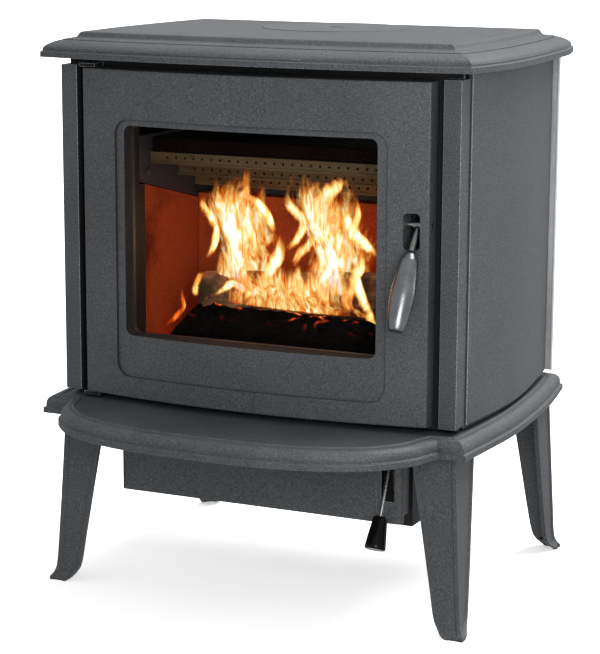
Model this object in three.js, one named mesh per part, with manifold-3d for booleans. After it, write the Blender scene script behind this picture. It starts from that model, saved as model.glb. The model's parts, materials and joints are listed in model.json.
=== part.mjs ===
// A free-standing wood burning stove in cast iron and steel, as an assembly of separate solids.
// Millimetres, +Z up, the door faces -Y. The finished group stands on z = 0 with its bounding
// box centred on the Z axis. Inside this file y = 0 is the front face of the front pillars.

import * as THREE from 'three';
import { mergeVertices } from 'three/addons/utils/BufferGeometryUtils.js';
import Module from 'manifold-3d';

const wasm = await Module();
wasm.setup();

// ---------------------------------------------------------------- driving dimensions

const GAP = 0.3;                 // clearance between faces that rest on each other

const FRONT_Y = -161.7;          // front of the ash lip
const REAR_Y = 440;              // rear end of the flue collar
const CENTRE_Y = (FRONT_Y + REAR_Y) / 2;

const BASE_Z = 236;              // underside of the base plate
const BASE_TOP = 260.5;          // flat upper face of the base plate
const BASE_HOLLOW_TOP = 253.5;   // roof of the hollows under the base plate
const BEAD_TOP = 262.4;          // thin bead round the base plate
const TOP_Z = 712.6;             // underside of the top plate
const STOVE_TOP = 745;           // flat upper face of the top plate
const TOP_T = 7;                 // thickness of its flat middle

const PILLAR_X = 279.7;          // outer side of the front pillars
const PILLAR_INNER_X = 256.5;
const PILLAR_BOTTOM = 268.2;
const PILLAR_TOP = 702.9;
const FRAME_FACE_Y = 17.5;       // face that the door seal presses on
const FRAME_BACK_Y = 25.5;
const PILLAR_BACK_Y = 31.6;

const FIRE_MOUTH = { x: 191, z0: 312, z1: 658 };   // opening of the front frame

const DOOR_X = 243.7;
const DOOR_Z0 = 268.5;
const DOOR_Z1 = 700.5;
const DOOR_FACE_Y = -7.8;        // front face along the door's two sides
const DOOR_BACK_Y = 14.2;
const DOOR_BOW = 24;             // how far the face swells out at the middle of its width
const DOOR_PLATE_T = 7.8;
const PANEL = { x: 191, z0: 297, z1: 637, r: 20, depth: 2.5 };
const WINDOW = { x: 177.5, z0: 353, z1: 629, r: 10 };
const GLASS_BED = { x: 192, z0: 340, z1: 642, y: -0.5 };
const SEAL = { x: 202, z0: 300, z1: 660, half: 4, y0: 9.2, y1: 17.2 };
const HINGE = { x: -236, y: 4, r: 4 };

const HANDLE = { x: 225, y: 4.5, z: 523 };         // axis of the door handle
const HANDLE_SLOT = { x0: 211, x1: 232, z0: 493, z1: 539, r: 5 };
const GRIP_TOP = [-21, 493];                       // [y, z] where the grip begins
const GRIP_END = [-68, 402];

const SHELL = { x: 236, y0: 26, y1: 352, z0: 262.7, z1: 700, wall: 3 };
const FLUE_R = 74.5;
const FLUE_Z = 612;
const COOKING = { y: 258, r: 100, ledge: 88 };     // round plate in the top
const SEAT_Z = 737;              // ledge that the round plate rests on

const BRICK_X = 197;             // inner face of the side bricks
const BRICK_T = 30;
const BRICK_FRONT_Y = 75;
const BRICK_REAR_Y = 228;        // front face of the rear brick
const FLOOR_TOP = 298;
const SILL_TOP = 338;            // ledge behind the door
const GRATE = { x: 90, y0: 94, y1: 222 };

const BOX_X = 204.7;             // ash box under the base plate
const BOX_Y0 = 50;
const BOX_Y1 = 272;
const BOX_Z = 121;
const PLATE_Y = 13;              // face of the ash drawer front
const PLATE_Z = 132.5;
const SEAM_X = 168.5;            // joint between the drawer front and the air control cover

const LEVER = { x: 184.5, y: 28, z: 218 };         // axis of the air control lever
const LEVER_TILT = THREE.MathUtils.degToRad(25.7);

// ---------------------------------------------------------------- materials

const finish = (color, roughness, metalness, extra = {}) =>
  new THREE.MeshStandardMaterial({ color, roughness, metalness, ...extra });

const castIron = finish(0x4b4e52, 0.7, 0.35);
const sheetSteel = finish(0x2a2b2d, 0.6, 0.5);
const shieldSteel = finish(0x8a8d90, 0.45, 0.6);
const brightSteel = finish(0xc8c9c6, 0.3, 0.9);
const gripMetal = finish(0x45474c, 0.4, 0.6);
const vermiculite = finish(0xb9794e, 0.95, 0.0);
const glassFinish = finish(0x9aa3a5, 0.05, 0.0, { transparent: true, opacity: 0.3 });
const ropeFinish = finish(0x6d6a64, 0.95, 0.0);
const blackKnob = finish(0x0c0c0d, 0.18, 0.0);

// ---------------------------------------------------------------- solids from geometry

// A boolean solid from any closed three.js geometry, turned face-out if it is inside out.
function solid(geometry) {
  const plain = geometry.clone();
  plain.deleteAttribute('normal');
  plain.deleteAttribute('uv');
  const merged = mergeVertices(plain, 1e-4);
  const at = merged.attributes.position.array;
  const tri = Uint32Array.from(merged.index.array);
  if (signedVolume(at, tri) < 0) {
    for (let i = 0; i < tri.length; i += 3) [tri[i], tri[i + 1]] = [tri[i + 1], tri[i]];
  }
  const mesh = new wasm.Mesh({ numProp: 3, vertProperties: Float32Array.from(at), triVerts: tri });
  return new wasm.Manifold(mesh);
}

function signedVolume(at, tri) {
  const corner = (i) => new THREE.Vector3(at[3 * i], at[3 * i + 1], at[3 * i + 2]);
  let sum = 0;
  for (let i = 0; i < tri.length; i += 3) {
    sum += corner(tri[i]).dot(corner(tri[i + 1]).cross(corner(tri[i + 2])));
  }
  return sum;
}

function geometryOf(body) {
  const mesh = body.getMesh();
  const geometry = new THREE.BufferGeometry();
  geometry.setAttribute('position', new THREE.BufferAttribute(mesh.vertProperties, 3));
  geometry.setIndex(new THREE.BufferAttribute(mesh.triVerts, 1));
  geometry.computeVertexNormals();
  return geometry;
}

const cut = (body, ...tools) => tools.reduce((left, tool) => left.subtract(tool), body);
const join = (body, ...others) => others.reduce((whole, other) => whole.add(other), body);

// A box between two values on each axis.
function box(x0, x1, y0, y1, z0, z1) {
  const geometry = new THREE.BoxGeometry(x1 - x0, y1 - y0, z1 - z0);
  return solid(geometry.translate((x0 + x1) / 2, (y0 + y1) / 2, (z0 + z1) / 2));
}

// Round rods along each axis; centre is the pair of coordinates across the axis.
function rodX(x0, x1, [y, z], r, sides = 16) {
  const geometry = new THREE.CylinderGeometry(r, r, x1 - x0, sides).rotateZ(Math.PI / 2);
  return solid(geometry.translate((x0 + x1) / 2, y, z));
}

function rodY([x, z], y0, y1, r, sides = 16) {
  return solid(new THREE.CylinderGeometry(r, r, y1 - y0, sides).translate(x, (y0 + y1) / 2, z));
}

function rodZ([x, y], z0, z1, r, sides = 16) {
  const geometry = new THREE.CylinderGeometry(r, r, z1 - z0, sides).rotateX(Math.PI / 2);
  return solid(geometry.translate(x, y, (z0 + z1) / 2));
}

const shapeOf = (points) => new THREE.Shape(points.map(([a, b]) => new THREE.Vector2(a, b)));
const flatExtrude = (shape, depth, curveSegments = 4) =>
  new THREE.ExtrudeGeometry(shape, { depth, bevelEnabled: false, curveSegments });

// An outline in plan, raised from z0 to z1.
const plan = (points, z0, z1) => solid(flatExtrude(shapeOf(points), z1 - z0).translate(0, 0, z0));

// An outline of [y, z] points, extruded along X.
function section(points, x0, x1, hole) {
  const shape = shapeOf(points);
  if (hole) shape.holes.push(shapeOf(hole));
  const geometry = flatExtrude(shape, x1 - x0);
  // The shape's own axes go to Y and Z, and its depth to X.
  geometry.applyMatrix4(new THREE.Matrix4().makeBasis(
    new THREE.Vector3(0, 1, 0), new THREE.Vector3(0, 0, 1), new THREE.Vector3(1, 0, 0)));
  return solid(geometry.translate(x0, 0, 0));
}

function roundedRect(x0, x1, z0, z1, r) {
  const shape = new THREE.Shape();
  shape.moveTo(x0 + r, z0);
  shape.lineTo(x1 - r, z0);
  shape.absarc(x1 - r, z0 + r, r, -Math.PI / 2, 0);
  shape.lineTo(x1, z1 - r);
  shape.absarc(x1 - r, z1 - r, r, 0, Math.PI / 2);
  shape.lineTo(x0 + r, z1);
  shape.absarc(x0 + r, z1 - r, r, Math.PI / 2, Math.PI);
  shape.lineTo(x0, z0 + r);
  shape.absarc(x0 + r, z0 + r, r, Math.PI, Math.PI * 1.5);
  return shape;
}

// A rounded rectangle in the front plane (x, z), between two depths in y.
function panel(x0, x1, z0, z1, r, y0, y1, cornerSteps = 3) {
  const geometry = flatExtrude(roundedRect(x0, x1, z0, z1, r), y1 - y0, cornerSteps);
  return solid(geometry.rotateX(Math.PI / 2).translate(0, y1, 0));
}

// A rounded frame in the front plane: an outer panel less an inner one.
function frameRing(outer, inner, y0, y1) {
  return cut(panel(-outer.x, outer.x, outer.z0, outer.z1, outer.r, y0, y1),
    panel(-inner.x, inner.x, inner.z0, inner.z1, inner.r, y0 - 1, y1 + 1));
}

// A body of revolution: profile holds [radius, height] pairs from axis to axis.
function turned(profile, sides = 16) {
  return new THREE.LatheGeometry(profile.map(([r, h]) => new THREE.Vector2(r, h)), sides);
}

// A solid through a stack of closed outlines with equal point counts.
function loft(rings) {
  const count = rings[0].length;
  const at = rings.flat(2);
  const tri = [];
  for (let k = 0; k + 1 < rings.length; k += 1) {
    for (let i = 0; i < count; i += 1) {
      const j = (i + 1) % count;
      const low = k * count;
      tri.push(low + i, low + j, low + count + j, low + i, low + count + j, low + count + i);
    }
  }
  const last = (rings.length - 1) * count;
  for (const [a, b, c] of capOf(rings[0])) tri.push(a, c, b);
  for (const [a, b, c] of capOf(rings[rings.length - 1])) tri.push(last + a, last + b, last + c);
  const geometry = new THREE.BufferGeometry();
  geometry.setAttribute('position', new THREE.Float32BufferAttribute(at, 3));
  geometry.setIndex(tri);
  return solid(geometry);
}

function capOf(ring) {
  const flat = ring.map(([x, y]) => new THREE.Vector2(x, y));
  const faces = THREE.ShapeUtils.triangulateShape(flat, []);
  return THREE.ShapeUtils.area(flat) < 0 ? faces.map(([a, b, c]) => [a, c, b]) : faces;
}

// The point of a plan curve at t, moved to the left of its direction by a distance.
function offsetPoint(curve, t, distance) {
  const ahead = curve.getTangent(t);
  return curve.getPoint(t).add(new THREE.Vector2(-ahead.y, ahead.x).multiplyScalar(distance));
}

// The t at which the moved curve reaches a value on one axis, which it does only once.
function reach(curve, distance, axis, value) {
  const rising = offsetPoint(curve, 1, distance)[axis] > offsetPoint(curve, 0, distance)[axis];
  let [low, high] = [0, 1];
  for (let i = 0; i < 30; i += 1) {
    const middle = (low + high) / 2;
    const beyond = offsetPoint(curve, middle, distance)[axis] > value;
    if (beyond === rising) high = middle;
    else low = middle;
  }
  return (low + high) / 2;
}

// One ring of a plate whose front edge runs from the centre line to the front corner and whose
// side runs from there to the back corner. The ring lies inside the edge by the distance. With
// a block the front edge stops short, at an inner corner, and the block's straight face runs on
// to the side; its value is the share of the distance by which that face moves back.
function plateRing({ front, side, frontSteps, sideSteps, block = 0 }, distance) {
  const corner = side.getPoint(0);
  const back = side.getPoint(1);
  const sideFrom = reach(side, distance, 'y', corner.y + distance * (block || 1));
  const sideTo = reach(side, distance, 'y', back.y - distance);
  const frontTo = block ? 1 : reach(front, distance, 'x', offsetPoint(side, sideFrom, distance).x);
  const half = [];
  for (let i = 0; i < frontSteps + (block ? 1 : 0); i += 1) {
    half.push(offsetPoint(front, (frontTo * i) / frontSteps, distance));
  }
  for (let i = 0; i <= sideSteps; i += 1) {
    half.push(offsetPoint(side, sideFrom + ((sideTo - sideFrom) * i) / sideSteps, distance));
  }
  const right = half.map((point) => point.toArray());
  const left = right.slice(1).map(([x, y]) => [-x, y]).reverse();
  return [...right, ...left];
}

// A moulded plate: each [inset, z] pair of the profile is one ring inside the plate's edge.
const moulded = (edge, profile) =>
  loft(profile.map(([distance, z]) => plateRing(edge, distance).map(([x, y]) => [x, y, z])));

const splineOf = (knots) => new THREE.SplineCurve(knots.map(([x, y]) => new THREE.Vector2(x, y)));

// Points along a smooth curve through a few knots.
const smooth = (knots, steps) => splineOf(knots).getPoints(steps).map((point) => point.toArray());

// ---------------------------------------------------------------- the assembly

const stove = new THREE.Group();
const body = new THREE.Group();
body.position.y = -CENTRE_Y;
stove.add(body);

function add(name, shape, material, parent = body) {
  const geometry = shape.isBufferGeometry ? shape : geometryOf(shape);
  const mesh = new THREE.Mesh(geometry, material);
  mesh.name = name;
  parent.add(mesh);
  return mesh;
}

const SIDES = [['left', -1], ['right', 1]];

// ---------------------------------------------------------------- base plate and legs

const baseEdge = {
  front: splineOf([[0, FRONT_Y], [80, -158.5], [150, -145], [205, -120], [236, -92], [254, -66],
    [263, -38.5], [269.5, -24]]),
  side: splineOf([[302.5, -24], [311, 81], [313.2, 144], [309.8, 228], [302, 318], [287, 416]]),
  frontSteps: 14,
  sideSteps: 8,
  block: 0.62,
};

const BASE_PROFILE = [[0, BASE_Z], [0, 243.5], [3.5, 245], [3.5, 248.5], [5, 254], [9.5, 258.6],
  [15, BASE_TOP], [18, BASE_TOP], [19.3, BEAD_TOP], [22, BEAD_TOP], [23.3, BASE_TOP]];

const LEG_TOP = BASE_Z - GAP;
const LEG_FLANGE = 6;
const LEG_WALL = 6;
const LEG_BOLT_R = 4;

// Each leg is an L in plan whose outer corner carries the ridge. A station gives the height,
// the ridge, the free end of the face plate, and the free end of the side plate.
const FRONT_LEG = [
  { z: LEG_TOP, ridge: [281, -2], face: 221, side: 68 },
  { z: 150, ridge: [285.6, -4.8], face: 236, side: 51 },
  { z: 70, ridge: [290.4, -7.6], face: 250, side: 33 },
  { z: 26, ridge: [293.4, -9.6], face: 257.5, side: 22 },
  { z: 12, ridge: [296, -12.5], face: 264, side: 12 },
  { z: 4, ridge: [301, -17.5], face: 271, side: -1 },
  { z: 0, ridge: [301, -18.5], face: 277, side: -6 },
];
const REAR_LEG = [
  { z: LEG_TOP, ridge: [271, 404], face: 211, side: 345 },
  { z: 150, ridge: [274.4, 409], face: 226, side: 358 },
  { z: 70, ridge: [277.8, 414], face: 239, side: 372 },
  { z: 26, ridge: [279.6, 417.5], face: 247, side: 382 },
  { z: 12, ridge: [282, 420.5], face: 253, side: 392 },
  { z: 4, ridge: [287, 425.5], face: 260, side: 405 },
  { z: 0, ridge: [287, 426.5], face: 266, side: 410 },
];

function legSolid(stations, mirror) {
  const inward = Math.sign(stations[0].side - stations[0].ridge[1]);
  const angle = ({ z, ridge: [x, y], face, side }) => [
    [x, y], [x, side], [x - LEG_WALL, side], [x - LEG_WALL, y + inward * LEG_WALL],
    [face, y + inward * LEG_WALL], [face, y],
  ].map(([px, py]) => [mirror * px, py, z]);
  const wedge = ({ ridge: [x, y], face, side }, z) =>
    [[x, y], [x, side], [face, y]].map(([px, py]) => [mirror * px, py, z]);
  const top = stations[0];
  const low = stations.slice(-3);
  const flange = loft([wedge(top, top.z - LEG_FLANGE), wedge(top, top.z)]);
  const sole = loft(low.map((station) => wedge(station, station.z)));
  return join(loft(stations.map(angle)), flange, sole);
}

const boltPlace = ({ ridge: [x, y], side }) => [x - 17, y + Math.sign(side - y) * 17];

function baseSolid() {
  const hollows = [
    box(-212, 212, -4, 398, BASE_Z - 1, BASE_HOLLOW_TOP),
    box(-282, 282, 72, 330, BASE_Z - 1, BASE_HOLLOW_TOP),
    box(-176, 176, -118, -3, BASE_Z - 1, BASE_HOLLOW_TOP),
  ];
  const ashHole = box(-GRATE.x, GRATE.x, GRATE.y0, GRATE.y1, BASE_Z, 270);
  const airHole = box(172, 196, 110, 190, BASE_Z, 270);
  const boltHoles = [FRONT_LEG[0], REAR_LEG[0]].flatMap((station) => SIDES.map(([, mirror]) => {
    const [x, y] = boltPlace(station);
    return rodZ([mirror * x, y], BASE_Z - 1, BASE_HOLLOW_TOP, LEG_BOLT_R + 0.4, 16);
  }));
  return cut(moulded(baseEdge, BASE_PROFILE), ...hollows, ashHole, airHole, ...boltHoles);
}

add('base_plate', baseSolid(), castIron);

for (const [end, stations] of [['front', FRONT_LEG], ['rear', REAR_LEG]]) {
  for (const [sideName, mirror] of SIDES) {
    const [x, y] = boltPlace(stations[0]);
    const hole = rodZ([mirror * x, y], LEG_TOP - LEG_FLANGE - 1, LEG_TOP + 1, LEG_BOLT_R + 0.4, 16);
    add(`leg_${end}_${sideName}`, cut(legSolid(stations, mirror), hole), castIron);
    const headTop = LEG_TOP - LEG_FLANGE - GAP;
    const bolt = join(rodZ([0, 0], headTop - 6.5, headTop, 7.5, 6),
      rodZ([0, 0], headTop - 1, 250, LEG_BOLT_R, 16));
    add(`leg_bolt_${end}_${sideName}`, bolt, brightSteel).position.set(mirror * x, y, 0);
  }
}

// ---------------------------------------------------------------- front frame

const LUG = { x0: -250, x1: -227, low: [PILLAR_BOTTOM - 5.5, DOOR_Z0 - 0.6], high: [DOOR_Z1 + 0.6, 706] };

function frontFrame() {
  const pillars = cut(box(-PILLAR_X, PILLAR_X, 0, PILLAR_BACK_Y, PILLAR_BOTTOM, PILLAR_TOP),
    box(-PILLAR_INNER_X, PILLAR_INNER_X, -1, FRAME_FACE_Y, PILLAR_BOTTOM - 1, PILLAR_TOP + 1),
    box(-PILLAR_INNER_X, PILLAR_INNER_X, FRAME_BACK_Y, 40, PILLAR_BOTTOM - 1, PILLAR_TOP + 1));
  const flange = box(-276, 276, FRAME_FACE_Y, FRAME_BACK_Y, 262.7, TOP_Z - GAP);
  const lugs = [LUG.low, LUG.high].map(([z0, z1]) => box(LUG.x0, LUG.x1, -4, FRAME_FACE_Y + 1, z0, z1));
  const mouth = panel(-FIRE_MOUTH.x, FIRE_MOUTH.x, FIRE_MOUTH.z0, FIRE_MOUTH.z1, 8, 10, 40);
  const latchPocket = box(214, 236, 10, 40, 490, 545);
  const pinHoles = rodZ([HINGE.x, HINGE.y], BASE_Z, STOVE_TOP, HINGE.r + GAP, 16);
  return cut(join(pillars, flange, ...lugs), mouth, latchPocket, pinHoles);
}

add('front_frame', frontFrame(), castIron);

// ---------------------------------------------------------------- sides, back and top

const SIDE_BOW = [[282.4, 32], [288.2, 100], [291.6, 172], [288.6, 240], [280, 314], [270.5, 382]];
const SIDE_T = 7;
const TONGUE_T = 3;              // inner tongue that stands on the base plate

for (const [sideName, mirror] of SIDES) {
  const outer = smooth(SIDE_BOW, 14);
  const strip = (from, to) => [
    ...outer.map(([x, y]) => [mirror * (x - from), y]),
    ...outer.map(([x, y]) => [mirror * (x - to), y]).reverse(),
  ];
  add(`side_panel_${sideName}`, join(plan(strip(0, SIDE_T), PILLAR_BOTTOM, TOP_Z - GAP),
    plan(strip(SIDE_T - TONGUE_T, SIDE_T), BEAD_TOP + GAP, PILLAR_BOTTOM + 1)), castIron);
}

const BACK_Y0 = 373;
const BACK_Y1 = 376;
const SHIELD_Y0 = 388;
const SHIELD_Y1 = 390;
const FLUE_CLEAR = FLUE_R + 6;
const SCREW_PLACES = [[-225, 300], [225, 300], [-225, 680], [225, 680]];

const flueHole = rodY([0, FLUE_Z], BACK_Y0 - 5, SHIELD_Y1 + 5, FLUE_CLEAR, 24);
const shieldHoles = SCREW_PLACES.map((place) =>
  rodY(place, BACK_Y0 - 5, SHIELD_Y1 + 5, 3 + GAP, 12));

add('back_panel', cut(box(-263, 263, BACK_Y0, BACK_Y1, BEAD_TOP + GAP, TOP_Z - GAP), flueHole,
  ...shieldHoles), castIron);

// Heat shield of folded sheet: a flat back with its two long edges turned forwards.
const shieldFolds = [-1, 1].map((mirror) =>
  box(Math.min(mirror * 277, mirror * 279), Math.max(mirror * 277, mirror * 279), SHIELD_Y0 - 4,
    SHIELD_Y1, PILLAR_BOTTOM, 706));
add('rear_heat_shield', cut(join(box(-279, 279, SHIELD_Y0, SHIELD_Y1, PILLAR_BOTTOM, 706),
  ...shieldFolds), flueHole, ...shieldHoles), shieldSteel);

SCREW_PLACES.forEach((place, i) => {
  const spacer = rodY(place, BACK_Y1 + GAP, SHIELD_Y0 - GAP, 6, 16);
  const shank = rodY(place, BACK_Y0, SHIELD_Y1 + 1, 3, 16);
  const head = rodY(place, SHIELD_Y1 + GAP, SHIELD_Y1 + 3.5, 6, 6);
  add(`shield_screw_${i + 1}`, join(spacer, shank, head), brightSteel);
});

// The top plate's outer edge bows out more than the edge of its flat middle, so the moulding
// between them is widest half-way along the front and each side.
const bowed = (x, y, bow) => splineOf([0, 0.25, 0.5, 0.75, 1].map((t) => [x * t, y - bow * (1 - t * t)]));
const topEdge = {
  front: bowed(300, -19, 24),
  side: splineOf([[300, -19], [312, 40], [318.2, 118], [316, 200], [311, 270], [305, 344], [290, 410]]),
  frontSteps: 7,
  sideSteps: 9,
};
const flatEdge = {
  front: bowed(259, 20, 13),
  side: splineOf([[259, 20], [263.5, 90], [265, 160], [263.5, 240], [259.5, 305], [254, 362]]),
  frontSteps: 7,
  sideSteps: 9,
};
// [share of the moulding's width from the outer edge, z]
const TOP_PROFILE = [[0, TOP_Z], [0, 720.4], [0.06, 721.4], [0.065, 724.6], [0.13, 729.5],
  [0.27, 732.9], [0.47, 735.4], [0.53, 734.6], [0.58, 735.8], [0.84, 738], [0.9, 740],
  [0.95, 743.4], [1, STOVE_TOP]];

// A moulded plate whose rings lie between an outer and an inner edge.
function mouldedBetween(outerEdge, innerEdge, profile) {
  const inner = plateRing(innerEdge, 0);
  const outer = plateRing(outerEdge, 0);
  return loft(profile.map(([share, z]) => outer.map(([x, y], i) =>
    [x + share * (inner[i][0] - x), y + share * (inner[i][1] - y), z])));
}

function topSolid() {
  const above = STOVE_TOP + 5;
  const seatRing = rodZ([0, COOKING.y], SEAT_Z - 9, above, COOKING.r + 9, 36);
  const under = cut(plan(plateRing(flatEdge, 4), TOP_Z - 1, STOVE_TOP - TOP_T), seatRing);
  const opening = rodZ([0, COOKING.y], TOP_Z - 1, above, COOKING.ledge, 36);
  const seat = rodZ([0, COOKING.y], SEAT_Z, above, COOKING.r + 0.6, 36);
  return cut(mouldedBetween(topEdge, flatEdge, TOP_PROFILE), under, opening, seat);
}

add('top_plate', topSolid(), castIron);

// Round cooking plate: chamfered rim and a small oval lifting recess in the middle.
function cookingPlate() {
  const disc = solid(turned([[0, 0], [COOKING.r, 0], [COOKING.r, 7.4], [COOKING.r - 1.2, 8.6],
    [0, 8.6]], 36).rotateX(Math.PI / 2));
  const recess = solid(new THREE.CylinderGeometry(13, 9, 5, 20).rotateX(Math.PI / 2)
    .scale(1, 0.6, 1).translate(0, 0, 8.5));
  return cut(disc, recess);
}

add('cooking_plate', cookingPlate(), castIron).position.set(0, COOKING.y, SEAT_Z + GAP);

// ---------------------------------------------------------------- firebox

function shellSolid() {
  const { x, y0, y1, z0, z1, wall } = SHELL;
  return cut(box(-x, x, y0, y1, z0, z1),
    box(-x + wall, x - wall, y0 - 1, y1 - wall, z0 + wall, z1 - wall),
    box(-GRATE.x, GRATE.x, GRATE.y0, GRATE.y1, z0 - 1, z0 + wall + 1),
    box(-140, 140, 266, 294, z0 - 1, z0 + wall + 1),
    rodY([0, FLUE_Z], y1 - wall - 1, y1 + 1, FLUE_R - 3.5, 24),
    rodZ([0, COOKING.y], z1 - wall - 1, z1 + 1, 72, 24));
}

add('firebox_shell', shellSolid(), sheetSteel);
add('top_outlet_cover', rodZ([0, COOKING.y], SHELL.z1 + GAP, SHELL.z1 + 6, 84, 24), castIron);

const COLLAR_Y = SHELL.y1 + GAP;
const collar = turned([[FLUE_R - 3.5, 0], [96, 0], [96, 5], [FLUE_R, 5],
  [FLUE_R, REAR_Y - COLLAR_Y], [FLUE_R - 3.5, REAR_Y - COLLAR_Y], [FLUE_R - 3.5, 0]], 24);
add('flue_collar', solid(collar), castIron).position.set(0, COLLAR_Y, FLUE_Z);

const FLOOR_Z0 = SHELL.z0 + SHELL.wall + GAP;
add('floor_brick', cut(box(-231, 231, 27, 256, FLOOR_Z0, FLOOR_TOP),
  box(-GRATE.x, GRATE.x, GRATE.y0, GRATE.y1, FLOOR_TOP - 14, FLOOR_TOP + 1),
  box(-GRATE.x + 12, GRATE.x - 12, GRATE.y0 + 12, GRATE.y1 - 12, 200, FLOOR_TOP)), vermiculite);

const slots = Array.from({ length: 11 }, (_, i) => {
  const x = (i - 5) * 14;
  return box(x - 3.5, x + 3.5, GRATE.y0 + 16, GRATE.y1 - 16, 200, 400);
});
add('grate', cut(box(-GRATE.x + 1, GRATE.x - 1, GRATE.y0 + 1, GRATE.y1 - 1, FLOOR_TOP - 13.7,
  FLOOR_TOP + 0.5), ...slots), castIron);

const BRICK_SLOPE = -0.235;      // the side bricks fall towards the back
const brickTop = (y) => 541 + BRICK_SLOPE * (y - BRICK_FRONT_Y);
const BRICK_BACK_Y = BRICK_REAR_Y + 28;
const sideBrick = [[BRICK_FRONT_Y, FLOOR_TOP + GAP], [BRICK_BACK_Y, FLOOR_TOP + GAP],
  [BRICK_BACK_Y, brickTop(BRICK_BACK_Y)], [BRICK_FRONT_Y, brickTop(BRICK_FRONT_Y)]];
const MANIFOLD_BACK = 300;
const bracket = [[62, brickTop(62) + 1], [MANIFOLD_BACK, brickTop(MANIFOLD_BACK) + 1],
  [MANIFOLD_BACK, 606], [62, 606]];
const BRACKET_X = BRICK_X + 0.4;

for (const [sideName, mirror] of SIDES) {
  const span = (near, far) => (mirror > 0 ? [near, far] : [-far, -near]);
  add(`brick_${sideName}`, section(sideBrick, ...span(BRICK_X, BRICK_X + BRICK_T)), vermiculite);
  const boltHole = rodX(...span(BRACKET_X - 2, BRACKET_X + 8), [84, 556], 3.4, 12);
  add(`baffle_bracket_${sideName}`, cut(section(bracket, ...span(BRACKET_X, BRACKET_X + 4)),
    boltHole), sheetSteel);
  add(`bracket_bolt_${sideName}`, join(rodX(...span(BRACKET_X - 4, BRACKET_X - GAP), [84, 556], 6, 6),
    rodX(...span(BRACKET_X - 1, BRACKET_X + 10), [84, 556], 3, 12)), sheetSteel);
}

add('brick_rear', box(-BRICK_X + 0.4, BRICK_X - 0.4, BRICK_REAR_Y, BRICK_BACK_Y, FLOOR_TOP + GAP, 511),
  vermiculite);

// Stepped air manifold under the baffle: each riser carries a row of air holes.
const RISERS = [[90, 569], [170, 544], [220, 525]];
const MANIFOLD_TOP = 583;
const MANIFOLD_WALL = 3;

function manifoldSolid() {
  const outer = [[RISERS[0][0], MANIFOLD_TOP]];
  for (const [i, [y, z]] of RISERS.entries()) {
    outer.push([y, z]);
    outer.push([i + 1 < RISERS.length ? RISERS[i + 1][0] : MANIFOLD_BACK, z]);
  }
  outer.push([MANIFOLD_BACK, MANIFOLD_TOP]);
  const t = MANIFOLD_WALL;
  const inner = outer.map(([y, z]) => [
    y === MANIFOLD_BACK ? y - t : y + t, z === MANIFOLD_TOP ? z - t : z + t]);
  const width = BRICK_X - 0.4;
  const tube = section(outer, -width, width, inner);
  const feed = box(-120, 120, 262, 294, 520, 530);
  const holes = RISERS.flatMap(([y, z]) => Array.from({ length: 9 }, (_, i) =>
    rodY([(i - 4) * 42, z + 7], y - 1, y + t + 1, 2.5, 6)));
  return cut(tube, feed, ...holes);
}

add('baffle_manifold', manifoldSolid(), sheetSteel);
add('baffle_board', box(-BRICK_X + 1, BRICK_X - 1, 94, MANIFOLD_BACK, MANIFOLD_TOP + GAP, 602),
  vermiculite);

add('rear_air_duct', cut(box(-150, 150, 258, 300, FLOOR_Z0, 524.5),
  box(-147, 147, 261, 297, 200, 600)), sheetSteel);

// Cast liner behind the door: a ledge along the bottom and a cheek up each side.
const LINER_Y0 = FRAME_BACK_Y + 1;
const LINER_Y1 = BRICK_FRONT_Y - GAP;
const CHEEK_X = BRICK_X + 8;
add('front_liner', cut(box(-CHEEK_X, CHEEK_X, LINER_Y0, LINER_Y1, FLOOR_TOP + GAP, 620),
  box(-BRICK_X, BRICK_X, LINER_Y0 - 1, LINER_Y1 + 1, SILL_TOP, 700),
  box(-BRICK_X, BRICK_X, LINER_Y0 - 1, LINER_Y1 - 8, 200, SILL_TOP - 8),
  box(-CHEEK_X - 1, CHEEK_X + 1, 61, LINER_Y1 + 1, brickTop(BRICK_FRONT_Y), 700)), castIron);

// ---------------------------------------------------------------- door

// Points along the door's front face in plan, moved back from it by a depth.
const faceLine = (halfWidth, depth, steps = 16) => Array.from({ length: steps + 1 }, (_, i) => {
  const x = halfWidth * ((2 * i) / steps - 1);
  return [x, DOOR_FACE_Y - DOOR_BOW * (1 - (x / DOOR_X) ** 2) + depth];
});

// All that lies behind the door's front plate, within a half width and two heights.
const behindPlate = (halfWidth, z0, z1) =>
  plan([...faceLine(halfWidth, DOOR_PLATE_T), [halfWidth, 20], [-halfWidth, 20]], z0, z1);

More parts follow.
